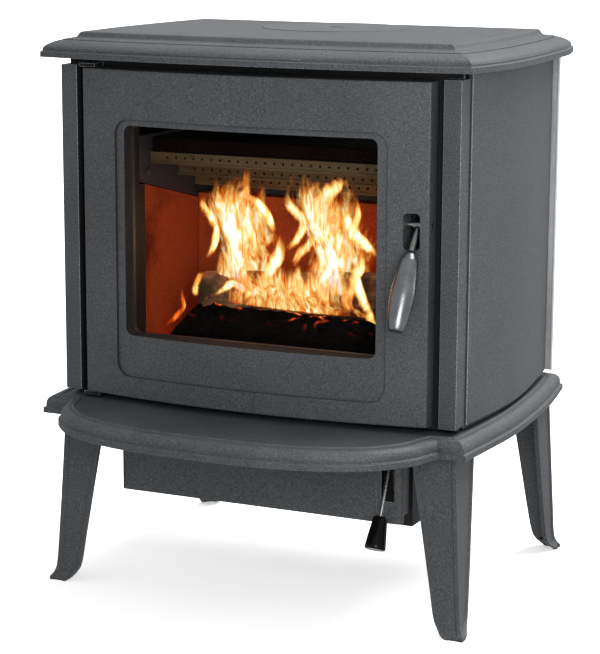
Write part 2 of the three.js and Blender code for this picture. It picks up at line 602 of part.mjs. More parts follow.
function doorSolid() {
  const edge = [[3, 0], [0.9, 0.9], [0, 3]];       // [inset, distance from the edge]
  const levels = [...edge.map(([inset, rise]) => [inset, DOOR_Z0 + rise]),
    ...edge.map(([inset, drop]) => [inset, DOOR_Z1 - drop]).reverse()];
  const casting = loft(levels.map(([inset, z]) => [
    [-DOOR_X, DOOR_BACK_Y], [-DOOR_X, DOOR_FACE_Y + 3 + inset], [-DOOR_X + 0.9, DOOR_FACE_Y + 0.7 + inset],
    ...faceLine(DOOR_X - 3, inset),
    [DOOR_X - 0.9, DOOR_FACE_Y + 0.7 + inset], [DOOR_X, DOOR_FACE_Y + 3 + inset], [DOOR_X, DOOR_BACK_Y],
  ].map(([x, y]) => [x, y, z])));
  const recess = panel(-PANEL.x, PANEL.x, PANEL.z0, PANEL.z1, PANEL.r, -60, DOOR_FACE_Y, 8)
    .intersect(plan([...faceLine(PANEL.x + 5, PANEL.depth), [PANEL.x + 5, -60], [-PANEL.x - 5, -60]],
      PANEL.z0 - 1, PANEL.z1 + 1));
  const window = panel(-WINDOW.x, WINDOW.x, WINDOW.z0, WINDOW.z1, WINDOW.r, -60, 20, 6);
  const bed = box(-GLASS_BED.x, GLASS_BED.x, GLASS_BED.y, 20, GLASS_BED.z0, GLASS_BED.z1);
  const lowerHollow = behindPlate(190, 310, 333);
  const upperHollow = behindPlate(190, 649, 654);
  const outerHollow = cut(behindPlate(235.7, 276.5, 692.5),
    box(-210, 210, -60, 21, 292, 668),
    box(-240, -226, -60, 21, 260, 286), box(-240, -226, -60, 21, 683, 702),
    box(200, 240, -60, 21, 482, 552));
  const wide = SEAL.half + GAP;
  const sealGroove = frameRing(
    { x: SEAL.x + wide, z0: SEAL.z0 - wide, z1: SEAL.z1 + wide, r: 12 },
    { x: SEAL.x - wide, z0: SEAL.z0 + wide, z1: SEAL.z1 - wide, r: 4 }, SEAL.y0 - GAP, 20);
  const slot = panel(HANDLE_SLOT.x0, HANDLE_SLOT.x1, HANDLE_SLOT.z0, HANDLE_SLOT.z1, HANDLE_SLOT.r,
    -60, 20);
  const pinBore = rodX(206, 250, [HANDLE.y, HANDLE.z], 3 + GAP, 16);
  const hingeBores = [rodZ([HINGE.x, HINGE.y], 260, DOOR_Z0 + 14, HINGE.r + GAP, 16),
    rodZ([HINGE.x, HINGE.y], DOOR_Z1 - 14, 720, HINGE.r + GAP, 16)];
  return cut(casting, recess, window, bed, lowerHollow, upperHollow, outerHollow, sealGroove, slot,
    pinBore, ...hingeBores);
}

add('door', doorSolid(), castIron);

const GLASS_Y = 2.1;
add('glass_gasket', frameRing({ x: 184, z0: 346.5, z1: 635.5, r: 3 }, { x: 178.5, z0: 352, z1: 630, r: 9 },
  GLASS_BED.y + GAP, GLASS_Y - GAP), ropeFinish);
add('door_glass', panel(-184, 184, 346.5, 635.5, 3, GLASS_Y, GLASS_Y + 4), glassFinish);

const SCREW_XZ = [[-188, 400], [188, 400], [-188, 582], [188, 582]];
const retainer = frameRing({ x: 191.5, z0: 340.5, z1: 641.5, r: 3 }, { x: 178.5, z0: 352, z1: 630, r: 9 },
  GLASS_Y + 4 + GAP, 13.6);
add('glass_retainer', cut(retainer, ...SCREW_XZ.map((place) => rodY(place, -5, 20, 2.2, 12))), sheetSteel);
SCREW_XZ.forEach((place, i) => {
  add(`glass_screw_${i + 1}`, join(rodY(place, GLASS_BED.y + GAP, 14.5, 1.8, 12),
    rodY(place, 13.6 + GAP, 16.4, 3.2, 12)), brightSteel);
});

add('door_seal', frameRing(
  { x: SEAL.x + SEAL.half, z0: SEAL.z0 - SEAL.half, z1: SEAL.z1 + SEAL.half, r: 12 - GAP },
  { x: SEAL.x - SEAL.half, z0: SEAL.z0 + SEAL.half, z1: SEAL.z1 - SEAL.half, r: 4 + GAP },
  SEAL.y0, SEAL.y1), ropeFinish);

add('hinge_pin_lower', rodZ([HINGE.x, HINGE.y], LUG.low[0] + GAP, DOOR_Z0 + 13, HINGE.r, 16),
  brightSteel);
add('hinge_pin_upper', rodZ([HINGE.x, HINGE.y], DOOR_Z1 - 13, LUG.high[1] + 2, HINGE.r, 16),
  brightSteel);

// ---------------------------------------------------------------- door handle

const [GRIP_Y, GRIP_Z] = GRIP_TOP;
const gripLength = Math.hypot(GRIP_END[0] - GRIP_Y, GRIP_END[1] - GRIP_Z);
const gripTilt = Math.atan2(GRIP_Y - GRIP_END[0], GRIP_Z - GRIP_END[1]);

// A straight rod between two [y, z] points in the plane x, grown a little at both ends.
function rodBetween(x, [y0, z0], [y1, z1], r, sides = 16) {
  const length = Math.hypot(y1 - y0, z1 - z0);
  const tilt = Math.atan2(y0 - y1, z0 - z1);
  const geometry = new THREE.CylinderGeometry(r, r, length, sides).rotateX(Math.PI / 2 - tilt);
  return solid(geometry.translate(x, (y0 + y1) / 2, (z0 + z1) / 2));
}

function handleLever() {
  const axis = [HANDLE.y, HANDLE.z];
  const hub = rodX(HANDLE.x - 6, HANDLE.x + 5.5, axis, 5.5, 20);
  const rod = rodBetween(HANDLE.x, axis, GRIP_TOP, 4);
  const cam = box(HANDLE.x - 4, HANDLE.x + 4, 6, 33, 518, 527);
  return cut(join(hub, rod, cam), rodX(200, 250, axis, 3 + GAP, 16));
}

add('handle_lever', handleLever(), brightSteel);

// [radius, share of the grip's length below its top]
const GRIP_SHAPE = [[4, 0.01], [8.6, 0.045], [10.6, 0.09], [12.2, 0.15], [13.5, 0.27], [14.8, 0.4],
  [15.8, 0.55], [15.2, 0.66], [13.8, 0.78], [11.6, 0.91], [9.4, 0.985], [8.2, 1]];
const gripProfile = [[0, 0.01], ...GRIP_SHAPE, [0, 1]].map(([r, share]) => [r, -share * gripLength])
  .reverse();
const grip = add('handle_grip', solid(turned(gripProfile).rotateX(Math.PI / 2)), gripMetal);
grip.position.set(HANDLE.x, GRIP_Y, GRIP_Z);
grip.rotation.x = -gripTilt;

add('handle_pin', rodX(206.5, DOOR_X - 0.2, [HANDLE.y, HANDLE.z], 3, 16), brightSteel);
add('latch_keeper', join(box(214, 231, FRAME_BACK_Y + GAP, 38, 529.5, 541),
  box(214, 231, FRAME_BACK_Y + GAP, 29, 529.5, 560)), sheetSteel);

// ---------------------------------------------------------------- ash box, drawer and air control

const WALL = 3;
const PARTITION_X = 163;

add('ash_housing', cut(box(-BOX_X, BOX_X, BOX_Y0, BOX_Y1, BOX_Z, LEG_TOP),
  box(-BOX_X + WALL, PARTITION_X, BOX_Y0 - 1, BOX_Y1 - WALL, BOX_Z + WALL, 300),
  box(PARTITION_X + WALL, BOX_X - WALL, BOX_Y0 + WALL, BOX_Y1 - WALL, BOX_Z + WALL, 300),
  box(177, 192, BOX_Y0 - 1, BOX_Y0 + WALL + 1, 174, 206)), sheetSteel);

const PAN = { x0: -199, x1: 160.5, y0: 46.5, y1: BOX_Y1 - 8, z0: BOX_Z + WALL + GAP, z1: 206 };
add('ash_pan', cut(box(PAN.x0, PAN.x1, PAN.y0, PAN.y1, PAN.z0, PAN.z1),
  box(PAN.x0 + 2, PAN.x1 - 2, PAN.y0 + 2, PAN.y1 - 2, PAN.z0 + 2, PAN.z1 + 1)), sheetSteel);

const PLATE_T = 2.4;
const PLATE_TOP = BASE_Z - 0.5;
const EDGE_R = 7.5;

// Plan of a plate whose outer end turns back through a quarter circle.
function turnedPlate(outerX, innerX) {
  const side = Math.sign(outerX - innerX);
  const arc = (r) => Array.from({ length: 5 }, (_, i) => {
    const angle = (i / 4) * (Math.PI / 2);
    return [outerX - side * (EDGE_R - r * Math.sin(angle)), PLATE_Y + EDGE_R - r * Math.cos(angle)];
  });
  return [[innerX, PLATE_Y], ...arc(EDGE_R), ...arc(EDGE_R - PLATE_T).reverse(),
    [innerX, PLATE_Y + PLATE_T]];
}

const standoffs = [-150, 120].map((x) => box(x, x + 4, PLATE_Y + 1, PAN.y0 - GAP, 150, 196));
add('ash_drawer_front', join(plan(turnedPlate(-204.5, SEAM_X - 0.25), PLATE_Z, PLATE_TOP),
  ...standoffs), castIron);

const leverSlot = box(175.5, 193.5, 0, 30, 161.5, 226);
add('air_control_cover', cut(join(plan(turnedPlate(204.5, SEAM_X + 0.25), PLATE_Z, PLATE_TOP),
  box(196.5, 200, PLATE_Y + 1, BOX_Y0 - GAP, 140, 228)), leverSlot), castIron);

const LEVER_AXIS = [LEVER.y, LEVER.z];
const along = (distance) => [LEVER.y - distance * Math.sin(LEVER_TILT),
  LEVER.z - distance * Math.cos(LEVER_TILT)];
const KNOB_AT = 79;              // distance from the lever's axis to the top of the knob
const KNOB_LENGTH = 43;

const leverBore = rodX(160, 210, LEVER_AXIS, 2.5 + GAP, 16);
add('air_lever', cut(join(rodX(LEVER.x - 5.5, LEVER.x + 2, LEVER_AXIS, 6, 20),
  rodBetween(LEVER.x - 1.5, LEVER_AXIS, along(KNOB_AT - GAP), 2.6, 12)), leverBore), brightSteel);

const knobProfile = [[0, -KNOB_LENGTH], [11.8, -KNOB_LENGTH], [13.6, -KNOB_LENGTH + 2],
  [11.6, -0.45 * KNOB_LENGTH], [9.4, -2.5], [7.6, -0.4], [0, 0]];
const knob = add('air_lever_knob', solid(turned(knobProfile).rotateX(Math.PI / 2)), blackKnob);
const [KNOB_Y, KNOB_Z] = along(KNOB_AT);
knob.position.set(LEVER.x - 1.5, KNOB_Y, KNOB_Z);
knob.rotation.x = -LEVER_TILT;

// Flap that swings with the lever and covers the air port in the front of the ash box.
const flapWeb = section([[26, 222], [32, 222], [44, 200], [47, 168], [44.5, 168], [24, 196]],
  LEVER.x + 2.6, LEVER.x + 5);
const flapPlate = section([[40, 212], [42.4, 212], [47.4, 168], [45, 168]], LEVER.x - 6, LEVER.x + 5);
add('air_flap', cut(join(flapWeb, flapPlate, rodX(LEVER.x + 2.4, LEVER.x + 5.2, LEVER_AXIS, 6, 20)),
  leverBore), sheetSteel);
add('air_lever_pin', rodX(SEAM_X + 3, 196.2, LEVER_AXIS, 2.5, 16), brightSteel);

export default stove;
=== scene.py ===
# A wood burning stove in painted cast iron, with a fire in it: the fine meshes, the finishes,
# the fire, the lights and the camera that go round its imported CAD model.

import json
import math

import bmesh
import bpy
from mathutils import Matrix, Vector, noise

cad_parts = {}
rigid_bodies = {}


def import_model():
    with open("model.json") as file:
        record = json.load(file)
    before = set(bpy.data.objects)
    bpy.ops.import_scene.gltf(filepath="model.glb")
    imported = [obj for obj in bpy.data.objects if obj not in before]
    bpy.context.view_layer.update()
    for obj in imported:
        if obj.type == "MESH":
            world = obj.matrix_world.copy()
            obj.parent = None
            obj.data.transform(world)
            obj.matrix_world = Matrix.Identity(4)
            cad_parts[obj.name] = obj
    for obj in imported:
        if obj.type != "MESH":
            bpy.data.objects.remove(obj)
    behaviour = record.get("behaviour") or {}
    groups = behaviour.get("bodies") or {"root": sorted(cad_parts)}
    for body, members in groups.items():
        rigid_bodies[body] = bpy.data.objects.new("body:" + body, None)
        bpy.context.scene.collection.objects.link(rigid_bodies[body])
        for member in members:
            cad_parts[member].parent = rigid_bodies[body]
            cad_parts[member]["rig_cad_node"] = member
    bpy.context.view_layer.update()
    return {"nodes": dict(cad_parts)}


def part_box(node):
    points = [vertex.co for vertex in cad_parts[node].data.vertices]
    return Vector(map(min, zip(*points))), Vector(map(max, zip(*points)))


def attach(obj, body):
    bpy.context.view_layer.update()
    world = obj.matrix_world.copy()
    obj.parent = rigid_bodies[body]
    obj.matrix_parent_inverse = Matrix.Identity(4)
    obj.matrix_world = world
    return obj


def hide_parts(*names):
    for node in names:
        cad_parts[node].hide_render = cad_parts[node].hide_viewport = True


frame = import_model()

nodes = frame["nodes"]

# ---- places and sizes
# Shapes are written in the stove's own millimetres: x from the middle, y back from the front
# face of the pillars, z up from the floor.

MM = 0.001
DOOR_STANDS_PROUD = 31.8
ORIGIN_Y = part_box("door")[0].y + DOOR_STANDS_PROUD * MM


def at(x, y, z):
    """A place in the row frame, in metres, from the stove's own millimetres."""
    return Vector((x * MM, ORIGIN_Y + y * MM, z * MM))


def own(node):
    """A CAD node's box in the stove's own millimetres, as two corners."""
    shift = Vector((0, ORIGIN_Y, 0))
    return [(corner - shift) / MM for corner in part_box(node)]


FRONT_Y = own("base_plate")[0].y
BASE_Z = own("base_plate")[0].z
TOP_Z = own("top_plate")[0].z
STOVE_TOP = own("top_plate")[1].z
COOKING_Y = 258
COOKING_R = 100
SEAT_Z = own("cooking_plate")[0].z
BRICK_X = own("brick_right")[0].x
BRICK_REAR_Y = own("brick_rear")[0].y
FLOOR_TOP = own("floor_brick")[1].z

# ---- curves


def knot_weights(p0, p1, p2, p3, w):
    """A value between p1 and p2 of a uniform Catmull-Rom curve."""
    v0, v1 = (p2 - p0) / 2, (p3 - p1) / 2
    return (((2 * p1 - 2 * p2 + v0 + v1) * w - 3 * p1 + 3 * p2 - 2 * v0 - v1) * w + v0) * w + p1


def blend_knots(knots, t):
    """The numbers at t, from 0 to 1, of a smooth curve through a few rows of numbers."""
    p = (len(knots) - 1) * min(max(t, 0.0), 1.0)
    i = min(int(p), len(knots) - 2)
    near = [knots[min(max(k, 0), len(knots) - 1)] for k in (i - 1, i, i + 1, i + 2)]
    return [knot_weights(*column, p - i) for column in zip(*near)]


def spline(knots, t):
    return Vector(blend_knots(knots, t))


def smooth(knots, steps):
    return [spline(knots, i / steps) for i in range(steps + 1)]


def ahead(knots, t):
    step = 1e-4
    return (spline(knots, min(t + step, 1)) - spline(knots, max(t - step, 0))).normalized()


def offset_point(knots, t, distance):
    """The point of a plan curve at t, moved to the left of its direction."""
    way = ahead(knots, t)
    return spline(knots, t) + Vector((-way.y, way.x)) * distance


def reach(knots, distance, axis, value):
    """The t at which the moved curve reaches a value on one axis, which it does only once."""
    rising = offset_point(knots, 1, distance)[axis] > offset_point(knots, 0, distance)[axis]
    low, high = 0.0, 1.0
    for _ in range(30):
        middle = (low + high) / 2
        if (offset_point(knots, middle, distance)[axis] > value) == rising:
            high = middle
        else:
            low = middle
    return (low + high) / 2


def plate_ring(front, side, distance, front_steps, side_steps, block=0):
    """A closed ring of plan points inside a plate's edge, front edge first. With a block the
    front edge ends in an inner corner, and the block's straight face runs on to the side."""
    side_from = reach(side, distance, 1, side[0][1] + distance * (block or 1))
    side_to = reach(side, distance, 1, side[-1][1] - distance)
    corner_x = offset_point(side, side_from, distance).x
    front_to = 1 if block else reach(front, distance, 0, corner_x)
    right = [offset_point(front, front_to * i / front_steps, distance)
             for i in range(front_steps + (1 if block else 0))]
    for i in range(side_steps + 1):
        t = side_from + (side_to - side_from) * i / side_steps
        right.append(offset_point(side, t, distance))
    return right + [Vector((-p.x, p.y)) for p in reversed(right[1:])]


def turn_about(steps, radius_x, radius_y):
    """A closed ring of plan points round the origin."""
    angles = [2 * math.pi * i / steps for i in range(steps)]
    return [Vector((radius_x * math.cos(a), radius_y * math.sin(a))) for a in angles]


def rounded_rect(x0, x1, z0, z1, r, steps):
    """A rounded rectangle as a closed ring of (x, z) points."""
    ring = []
    for cx, cz, start in ((x1 - r, z0 + r, -90), (x1 - r, z1 - r, 0), (x0 + r, z1 - r, 90),
                          (x0 + r, z0 + r, 180)):
        for i in range(steps + 1):
            a = math.radians(start + 90 * i / steps)
            ring.append(Vector((cx + r * math.cos(a), cz + r * math.sin(a))))
    return ring


# ---- meshes


def loft(rings, closed=False, capped=True):
    """Vertices and faces through a stack of rings with equal point counts."""
    count = len(rings[0])
    verts = [tuple(p) for ring in rings for p in ring]
    faces = []
    levels = len(rings) if closed else len(rings) - 1
    for k in range(levels):
        low, high = k * count, (k + 1) % len(rings) * count
        for i in range(count):
            j = (i + 1) % count
            faces.append((low + i, low + j, high + j, high + i))
    if capped and not closed:
        last = (len(rings) - 1) * count
        faces.append(tuple(reversed(range(count))))
        faces.append(tuple(range(last, last + count)))
    return verts, faces


def grid_faces(rows, count):
    """Faces between neighbours in rows of points, with count points to a row."""
    return [(a, a + 1, a + count + 1, a + count)
            for j in range(rows - 1) for a in range(j * count, j * count + count - 1)]


def box_mesh(x0, x1, y0, y1, z0, z1):
    low = [(x0, y0, z0), (x1, y0, z0), (x1, y1, z0), (x0, y1, z0)]
    return loft([low, [(x, y, z1) for x, y, _ in low]])


def new_object(name, verts, faces, place=at):
    """A mesh object whose points are given in millimetres."""
    mesh = bpy.data.meshes.new(name)
    mesh.from_pydata([place(*v) for v in verts], [], faces)
    tidy = bmesh.new()
    tidy.from_mesh(mesh)
    bmesh.ops.recalc_face_normals(tidy, faces=tidy.faces)
    tidy.to_mesh(mesh)
    tidy.free()
    obj = bpy.data.objects.new(name, mesh)
    bpy.context.scene.collection.objects.link(obj)
    return obj


def combine(obj, *tools, operation="DIFFERENCE"):
    """Cuts the tools out of the object, or joins them to it, and removes them."""
    for tool in tools:
        modifier = obj.modifiers.new("cut", "BOOLEAN")
        modifier.operation = operation
        modifier.solver = "MANIFOLD"
        modifier.object = tool
    graph = bpy.context.evaluated_depsgraph_get()
    obj.data = bpy.data.meshes.new_from_object(obj.evaluated_get(graph))
    obj.modifiers.clear()
    for tool in tools:
        bpy.data.objects.remove(tool)


def tool_box(*sides):
    return new_object("tool", *box_mesh(*sides))


def tool_round(x, y, z0, z1, r, steps=96):
    ring = turn_about(steps, r, r)
    return new_object("tool", *loft([[(x + p.x, y + p.y, z) for p in ring] for z in (z0, z1)]))


def shade_smooth(obj):
    obj.data.polygons.foreach_set("use_smooth", [True] * len(obj.data.polygons))


def soften(obj, width, limit=28):
    """Rounds the sharp edges of a mesh and shades the rest of it smooth."""
    shade_smooth(obj)
    if "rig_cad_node" in obj:
        weld = obj.modifiers.new("weld", "WELD")
        weld.merge_threshold = 0.01 * MM
        plain = obj.modifiers.new("planar", "DECIMATE")
        plain.decimate_type = "DISSOLVE"
        plain.angle_limit = math.radians(0.3)
    bevel = obj.modifiers.new("bevel", "BEVEL")
    bevel.width = width * MM
    bevel.segments = 2
    bevel.limit_method = "ANGLE"
    bevel.angle_limit = math.radians(limit)
    # The bevel faces take the second material, a lighter one: painted highlights along the edges.
    if len(obj.data.materials) > 1:
        bevel.material = 1
    normals = obj.modifiers.new("normals", "WEIGHTED_NORMAL")
    normals.keep_sharp = True


def finish_piece(obj, material, body, slot, *replaced, edge_highlight=None):
    """Gives a new piece its finish and its body, and hides the CAD nodes that it stands for."""
    obj.data.materials.clear()
    obj.data.materials.append(material)
    # The second material is the lighter edge finish: painted highlights on the bevels.
    if edge_highlight:
        obj.data.materials.append(edge_highlight)
    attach(obj, body)
    if replaced:
        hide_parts(*replaced)


# ---- materials


class Finish:
    """A Principled material that is built up from procedural parts."""

    def __init__(self, name, **values):
        self.material = bpy.data.materials.new(name)
        self.material.use_nodes = True
        self.tree = self.material.node_tree
        self.shader = self.tree.nodes["Principled BSDF"]
        for socket, value in values.items():
            self.shader.inputs[socket.replace("_", " ")].default_value = value
        self.height = None

    def node(self, kind, **values):
        made = self.tree.nodes.new(kind)
        for name, value in values.items():
            setattr(made, name, value)
        return made

    def link(self, source, target):
        self.tree.links.new(source, target)

    def feed(self, target, value):
        """Links a socket, or sets a plain number, on an input."""
        if isinstance(value, bpy.types.NodeSocket):
            self.link(value, target)
        else:
            target.default_value = value

    def place(self, stretch=(1, 1, 1)):
        """Object coordinates in metres, stretched on each axis."""
        mapping = self.node("ShaderNodeMapping")
        mapping.inputs["Scale"].default_value = stretch
        self.link(self.node("ShaderNodeTexCoord").outputs["Object"], mapping.inputs["Vector"])
        return mapping.outputs["Vector"]

    def noise(self, scale, detail=3.0, rough=0.55, stretch=(1, 1, 1), distortion=0.0):
        made = self.node("ShaderNodeTexNoise")
        self.link(self.place(stretch), made.inputs["Vector"])
        for socket, value in (("Scale", scale), ("Detail", detail), ("Roughness", rough),
                              ("Distortion", distortion)):
            made.inputs[socket].default_value = value
        return made.outputs["Fac"]

    def cells(self, scale, feature="F1", stretch=(1, 1, 1)):
        made = self.node("ShaderNodeTexVoronoi", feature=feature)
        self.link(self.place(stretch), made.inputs["Vector"])
        made.inputs["Scale"].default_value = scale
        return made.outputs["Distance"]

    def attribute(self, name):
        return self.node("ShaderNodeAttribute", attribute_name=name).outputs["Fac"]

    def span(self, value, low, high, to_low=0.0, to_high=1.0, kind="LINEAR"):
        """A value stretched from one span to another, and kept within it."""
        made = self.node("ShaderNodeMapRange", interpolation_type=kind)
        self.link(value, made.inputs["Value"])
        for socket, number in (("From Min", low), ("From Max", high), ("To Min", to_low),
                               ("To Max", to_high)):
            made.inputs[socket].default_value = number
        return made.outputs["Result"]

    def calc(self, operation, a, b, clamp=False):
        made = self.node("ShaderNodeMath", operation=operation, use_clamp=clamp)
        self.feed(made.inputs[0], a)
        self.feed(made.inputs[1], b)
        return made.outputs[0]

    def ramp(self, value, *stops):
        """A colour from a value, by stops of (place, colour)."""
        made = self.node("ShaderNodeValToRGB")
        self.link(value, made.inputs["Fac"])
        points = made.color_ramp.elements
        points[0].position, points[1].position = stops[0][0], stops[-1][0]
        for where, _ in stops[1:-1]:
            points.new(where)
        for point, (_, colour) in zip(points, stops):
            point.color = (*colour, 1.0)
        return made.outputs["Color"]

    def mix(self, share, a, b):
        made = self.node("ShaderNodeMix", data_type="RGBA")
        self.feed(made.inputs["Factor"], share)
        for name, value in (("A", a), ("B", b)):
            socket = next(s for s in made.inputs if s.name == name and s.type == "RGBA")
            self.feed(socket, value if isinstance(value, bpy.types.NodeSocket) else (*value, 1.0))
        return next(s for s in made.outputs if s.type == "RGBA")

    def set(self, socket, value):
        self.link(value, self.shader.inputs[socket])

    def tint(self, value, *stops):
        self.set("Base Color", self.ramp(value, *stops))

    def glow(self, strength, value, *stops):
        self.set("Emission Color", self.ramp(value, *stops))
        self.set("Emission Strength", strength)

    def roughen(self, value, low, high):
        """Roughness between two numbers, by a noise or a value like one."""
        self.set("Roughness", self.span(value, 0.3, 0.7, low, high))

    def bump(self, height, depth, strength):
        """Adds a relief of a depth in millimetres on top of the reliefs before it."""
        made = self.node("ShaderNodeBump")
        made.inputs["Distance"].default_value = depth * MM
        made.inputs["Strength"].default_value = strength
        self.link(height, made.inputs["Height"])
        if self.height:
            self.link(self.height, made.inputs["Normal"])
        self.height = made.outputs["Normal"]
        self.link(self.height, self.shader.inputs["Normal"])


def scaled(colour, factor):
    return tuple(min(c * factor, 1.0) for c in colour)


IRON = (0.0435, 0.0475, 0.052)
SHEET = (0.026, 0.027, 0.029)


def cast_iron(name, colour, rough):
    """Stove paint on cast iron: a fine grain over the slight unevenness of the casting, with
    painted shade darkening its corners, creases and gaps.
    """
    paint = Finish(name, Specular_IOR_Level=0.42)
    grain = paint.noise(560, 3, 0.66)
    patches = paint.noise(9, 4, 0.6)
    tone = paint.calc("ADD", paint.span(grain, 0.32, 0.68, -0.4, 0.4),
                     paint.span(patches, 0.35, 0.65, -0.07, 0.07))
    shade = paint.ramp(paint.calc("ADD", tone, 0.5), (0.08, scaled(colour, 0.36)),
                       (0.5, colour), (0.92, scaled(colour, 1.9)))
    # Painted shade: ambient occlusion within 9 mm darkens the colour in corners, creases and gaps.
    corners = paint.node("ShaderNodeAmbientOcclusion", samples=8)
    corners.inputs["Distance"].default_value = 9 * MM
    clear_of_painted_shade = paint.span(corners.outputs["AO"], 0.4, 0.92)
    paint.set("Base Color", paint.mix(clear_of_painted_shade, scaled(colour, 0.22), shade))
    paint.roughen(patches, rough - 0.06, rough + 0.07)
    paint.bump(paint.noise(260, 3, 0.5), 0.3, 0.7)
    paint.bump(paint.noise(520, 2, 0.6), 0.26, 0.7)
    return paint.material


def sheet_steel(name, colour, rough, metallic=0.3, shine=0.5):
    paint = Finish(name, Metallic=metallic, Specular_IOR_Level=shine)
    marks = paint.noise(40, 4, 0.65, (1, 1, 3))
    paint.tint(marks, (0.25, scaled(colour, 0.7)), (0.75, scaled(colour, 1.35)))
    paint.roughen(marks, rough - 0.08, rough + 0.1)
    paint.bump(paint.noise(300, 2, 0.5), 0.06, 0.4)
    return paint.material


def heat_shield():
    paint = Finish("heat_shield", Metallic=0.55)
    spangle = paint.cells(95)
    streaks = paint.noise(60, 4, 0.7, (1, 1, 0.12))
    tone = paint.calc("ADD", paint.span(spangle, 0, 0.8, -0.08, 0.1), streaks)
    paint.tint(tone, (0.3, (0.46, 0.47, 0.48)), (0.8, (0.62, 0.63, 0.64)))
    paint.roughen(streaks, 0.38, 0.55)
    paint.bump(streaks, 0.05, 0.3)
    return paint.material


def bright_steel(name, colour):
    paint = Finish(name, Metallic=1.0)
    lathe = paint.noise(420, 3, 0.7, (0.25, 1, 1))
    tint = paint.noise(55, 3, 0.6)
    paint.tint(tint, (0.3, scaled(colour, 0.88)), (0.7, scaled(colour, 1.12)))
    paint.roughen(lathe, 0.2, 0.38)
    paint.bump(lathe, 0.03, 0.35)
    return paint.material


def grip_metal():
    """Dark burnished casting, smoother where a hand wears it."""
    paint = Finish("grip_metal", Metallic=0.9)
    wear = paint.noise(38, 4, 0.6)
    grain = paint.noise(700, 2, 0.6)
    tone = paint.calc("ADD", wear, paint.span(grain, 0.3, 0.7, -0.12, 0.12))
    paint.tint(tone, (0.3, (0.13, 0.135, 0.143)), (0.75, (0.22, 0.226, 0.238)))
    paint.roughen(wear, 0.22, 0.3)
    paint.bump(grain, 0.05, 0.35)
    return paint.material


def gloss_black():
    paint = Finish("knob_gloss", Specular_IOR_Level=0.12)
    haze = paint.noise(120, 3, 0.6)
    paint.tint(haze, (0.3, (0.002, 0.002, 0.002)), (0.7, (0.004, 0.004, 0.0045)))
    paint.roughen(haze, 0.1, 0.16)
    paint.bump(paint.noise(90, 2, 0.5), 0.04, 0.2)
    return paint.material


def vermiculite(name, soot, cover):
    """Pressed vermiculite board, flecked, with soot burnt into it; its warm orange is partly its
    own colour and partly painted firelight.
    """
    paint = Finish(name, Specular_IOR_Level=0.04)
    flecks = paint.cells(360)
    grain = paint.noise(420, 4, 0.65)
    tone = paint.calc("ADD", paint.span(flecks, 0.0, 0.7, 0.07, -0.07),
                     paint.span(grain, 0.0, 1.0, 0.2, 0.8))
    # The orange is partly the board's own colour and partly painted firelight from the fire.
    board_and_firelight = paint.ramp(tone, (0.2, (0.11, 0.015, 0.003)), (0.5, (0.24, 0.042, 0.01)),
                       (0.85, (0.40, 0.10, 0.03)))
    smoke = paint.span(paint.noise(7, 5, 0.62), 0.5 - soot, 0.72 - soot, 0.0, cover, "SMOOTHSTEP")
    paint.set("Base Color", paint.mix(smoke, board_and_firelight, (0.002, 0.001, 0.0008)))
    paint.roughen(grain, 0.85, 1.0)
    paint.bump(paint.noise(45, 3, 0.5), 0.5, 0.35)
    paint.bump(tone, 0.35, 0.7)
    return paint.material


def ceramic_glass():
    """Clear ceramic glass with a thin haze of smoke in patches."""
    paint = Finish("ceramic_glass", Roughness=0.03, IOR=1.5, Specular_IOR_Level=0.15)
    haze = paint.noise(16, 4, 0.6, (1, 1, 0.7))
    paint.tint(haze, (0.3, (0.008, 0.007, 0.006)), (0.8, (0.03, 0.025, 0.02)))
    paint.set("Alpha", paint.span(haze, 0.35, 0.8, 0.012, 0.05))
    paint.material.surface_render_method = "BLENDED"
    return paint.material


def rope_fibre():
    """Woven glass fibre rope."""
    paint = Finish("rope_fibre", Specular_IOR_Level=0.2)
    strands = paint.noise(520, 3, 0.7, distortion=0.6)
    dirt = paint.noise(30, 4, 0.6)
    tone = paint.calc("ADD", strands, paint.span(dirt, 0.3, 0.7, -0.2, 0.2))
    paint.tint(tone, (0.25, (0.075, 0.072, 0.067)), (0.8, (0.30, 0.29, 0.27)))
    paint.roughen(strands, 0.85, 1.0)
    paint.bump(strands, 0.4, 0.7)
    return paint.material


def charred_bark():
    """Burnt bark, cracked into blocks, with a little fire left in its cracks."""
    paint = Finish("charred_bark", Specular_IOR_Level=0.0)
    blocks = paint.cells(62, "DISTANCE_TO_EDGE", (0.45, 1, 1))
    grain = paint.noise(190, 4, 0.65, (0.3, 1, 1))
    ash = paint.span(paint.noise(22, 4, 0.65), 0.6, 0.78, 0.0, 0.7)
    char = paint.ramp(grain, (0.3, (0.0006, 0.0005, 0.0005)), (0.75, (0.005, 0.004, 0.0035)))
    paint.set("Base Color", paint.mix(ash, char, (0.012, 0.01, 0.009)))
    paint.roughen(grain, 0.75, 1.0)
    crack = paint.span(blocks, 0.0, 0.1, 1.0, 0.0)
    glow = paint.calc("MULTIPLY", crack, paint.attribute("glow"))
    heat = paint.calc("MULTIPLY", glow, paint.span(paint.noise(45, 3), 0.5, 0.68))
    paint.glow(paint.calc("MULTIPLY", heat, 1.3), heat, (0.0, (0.5, 0.02, 0.0)),
               (0.6, (1.0, 0.13, 0.008)), (1.0, (1.0, 0.34, 0.05)))
    paint.bump(paint.span(blocks, 0.0, 0.22), 2.4, 0.8)
    paint.bump(grain, 1.0, 0.6)
    return paint.material


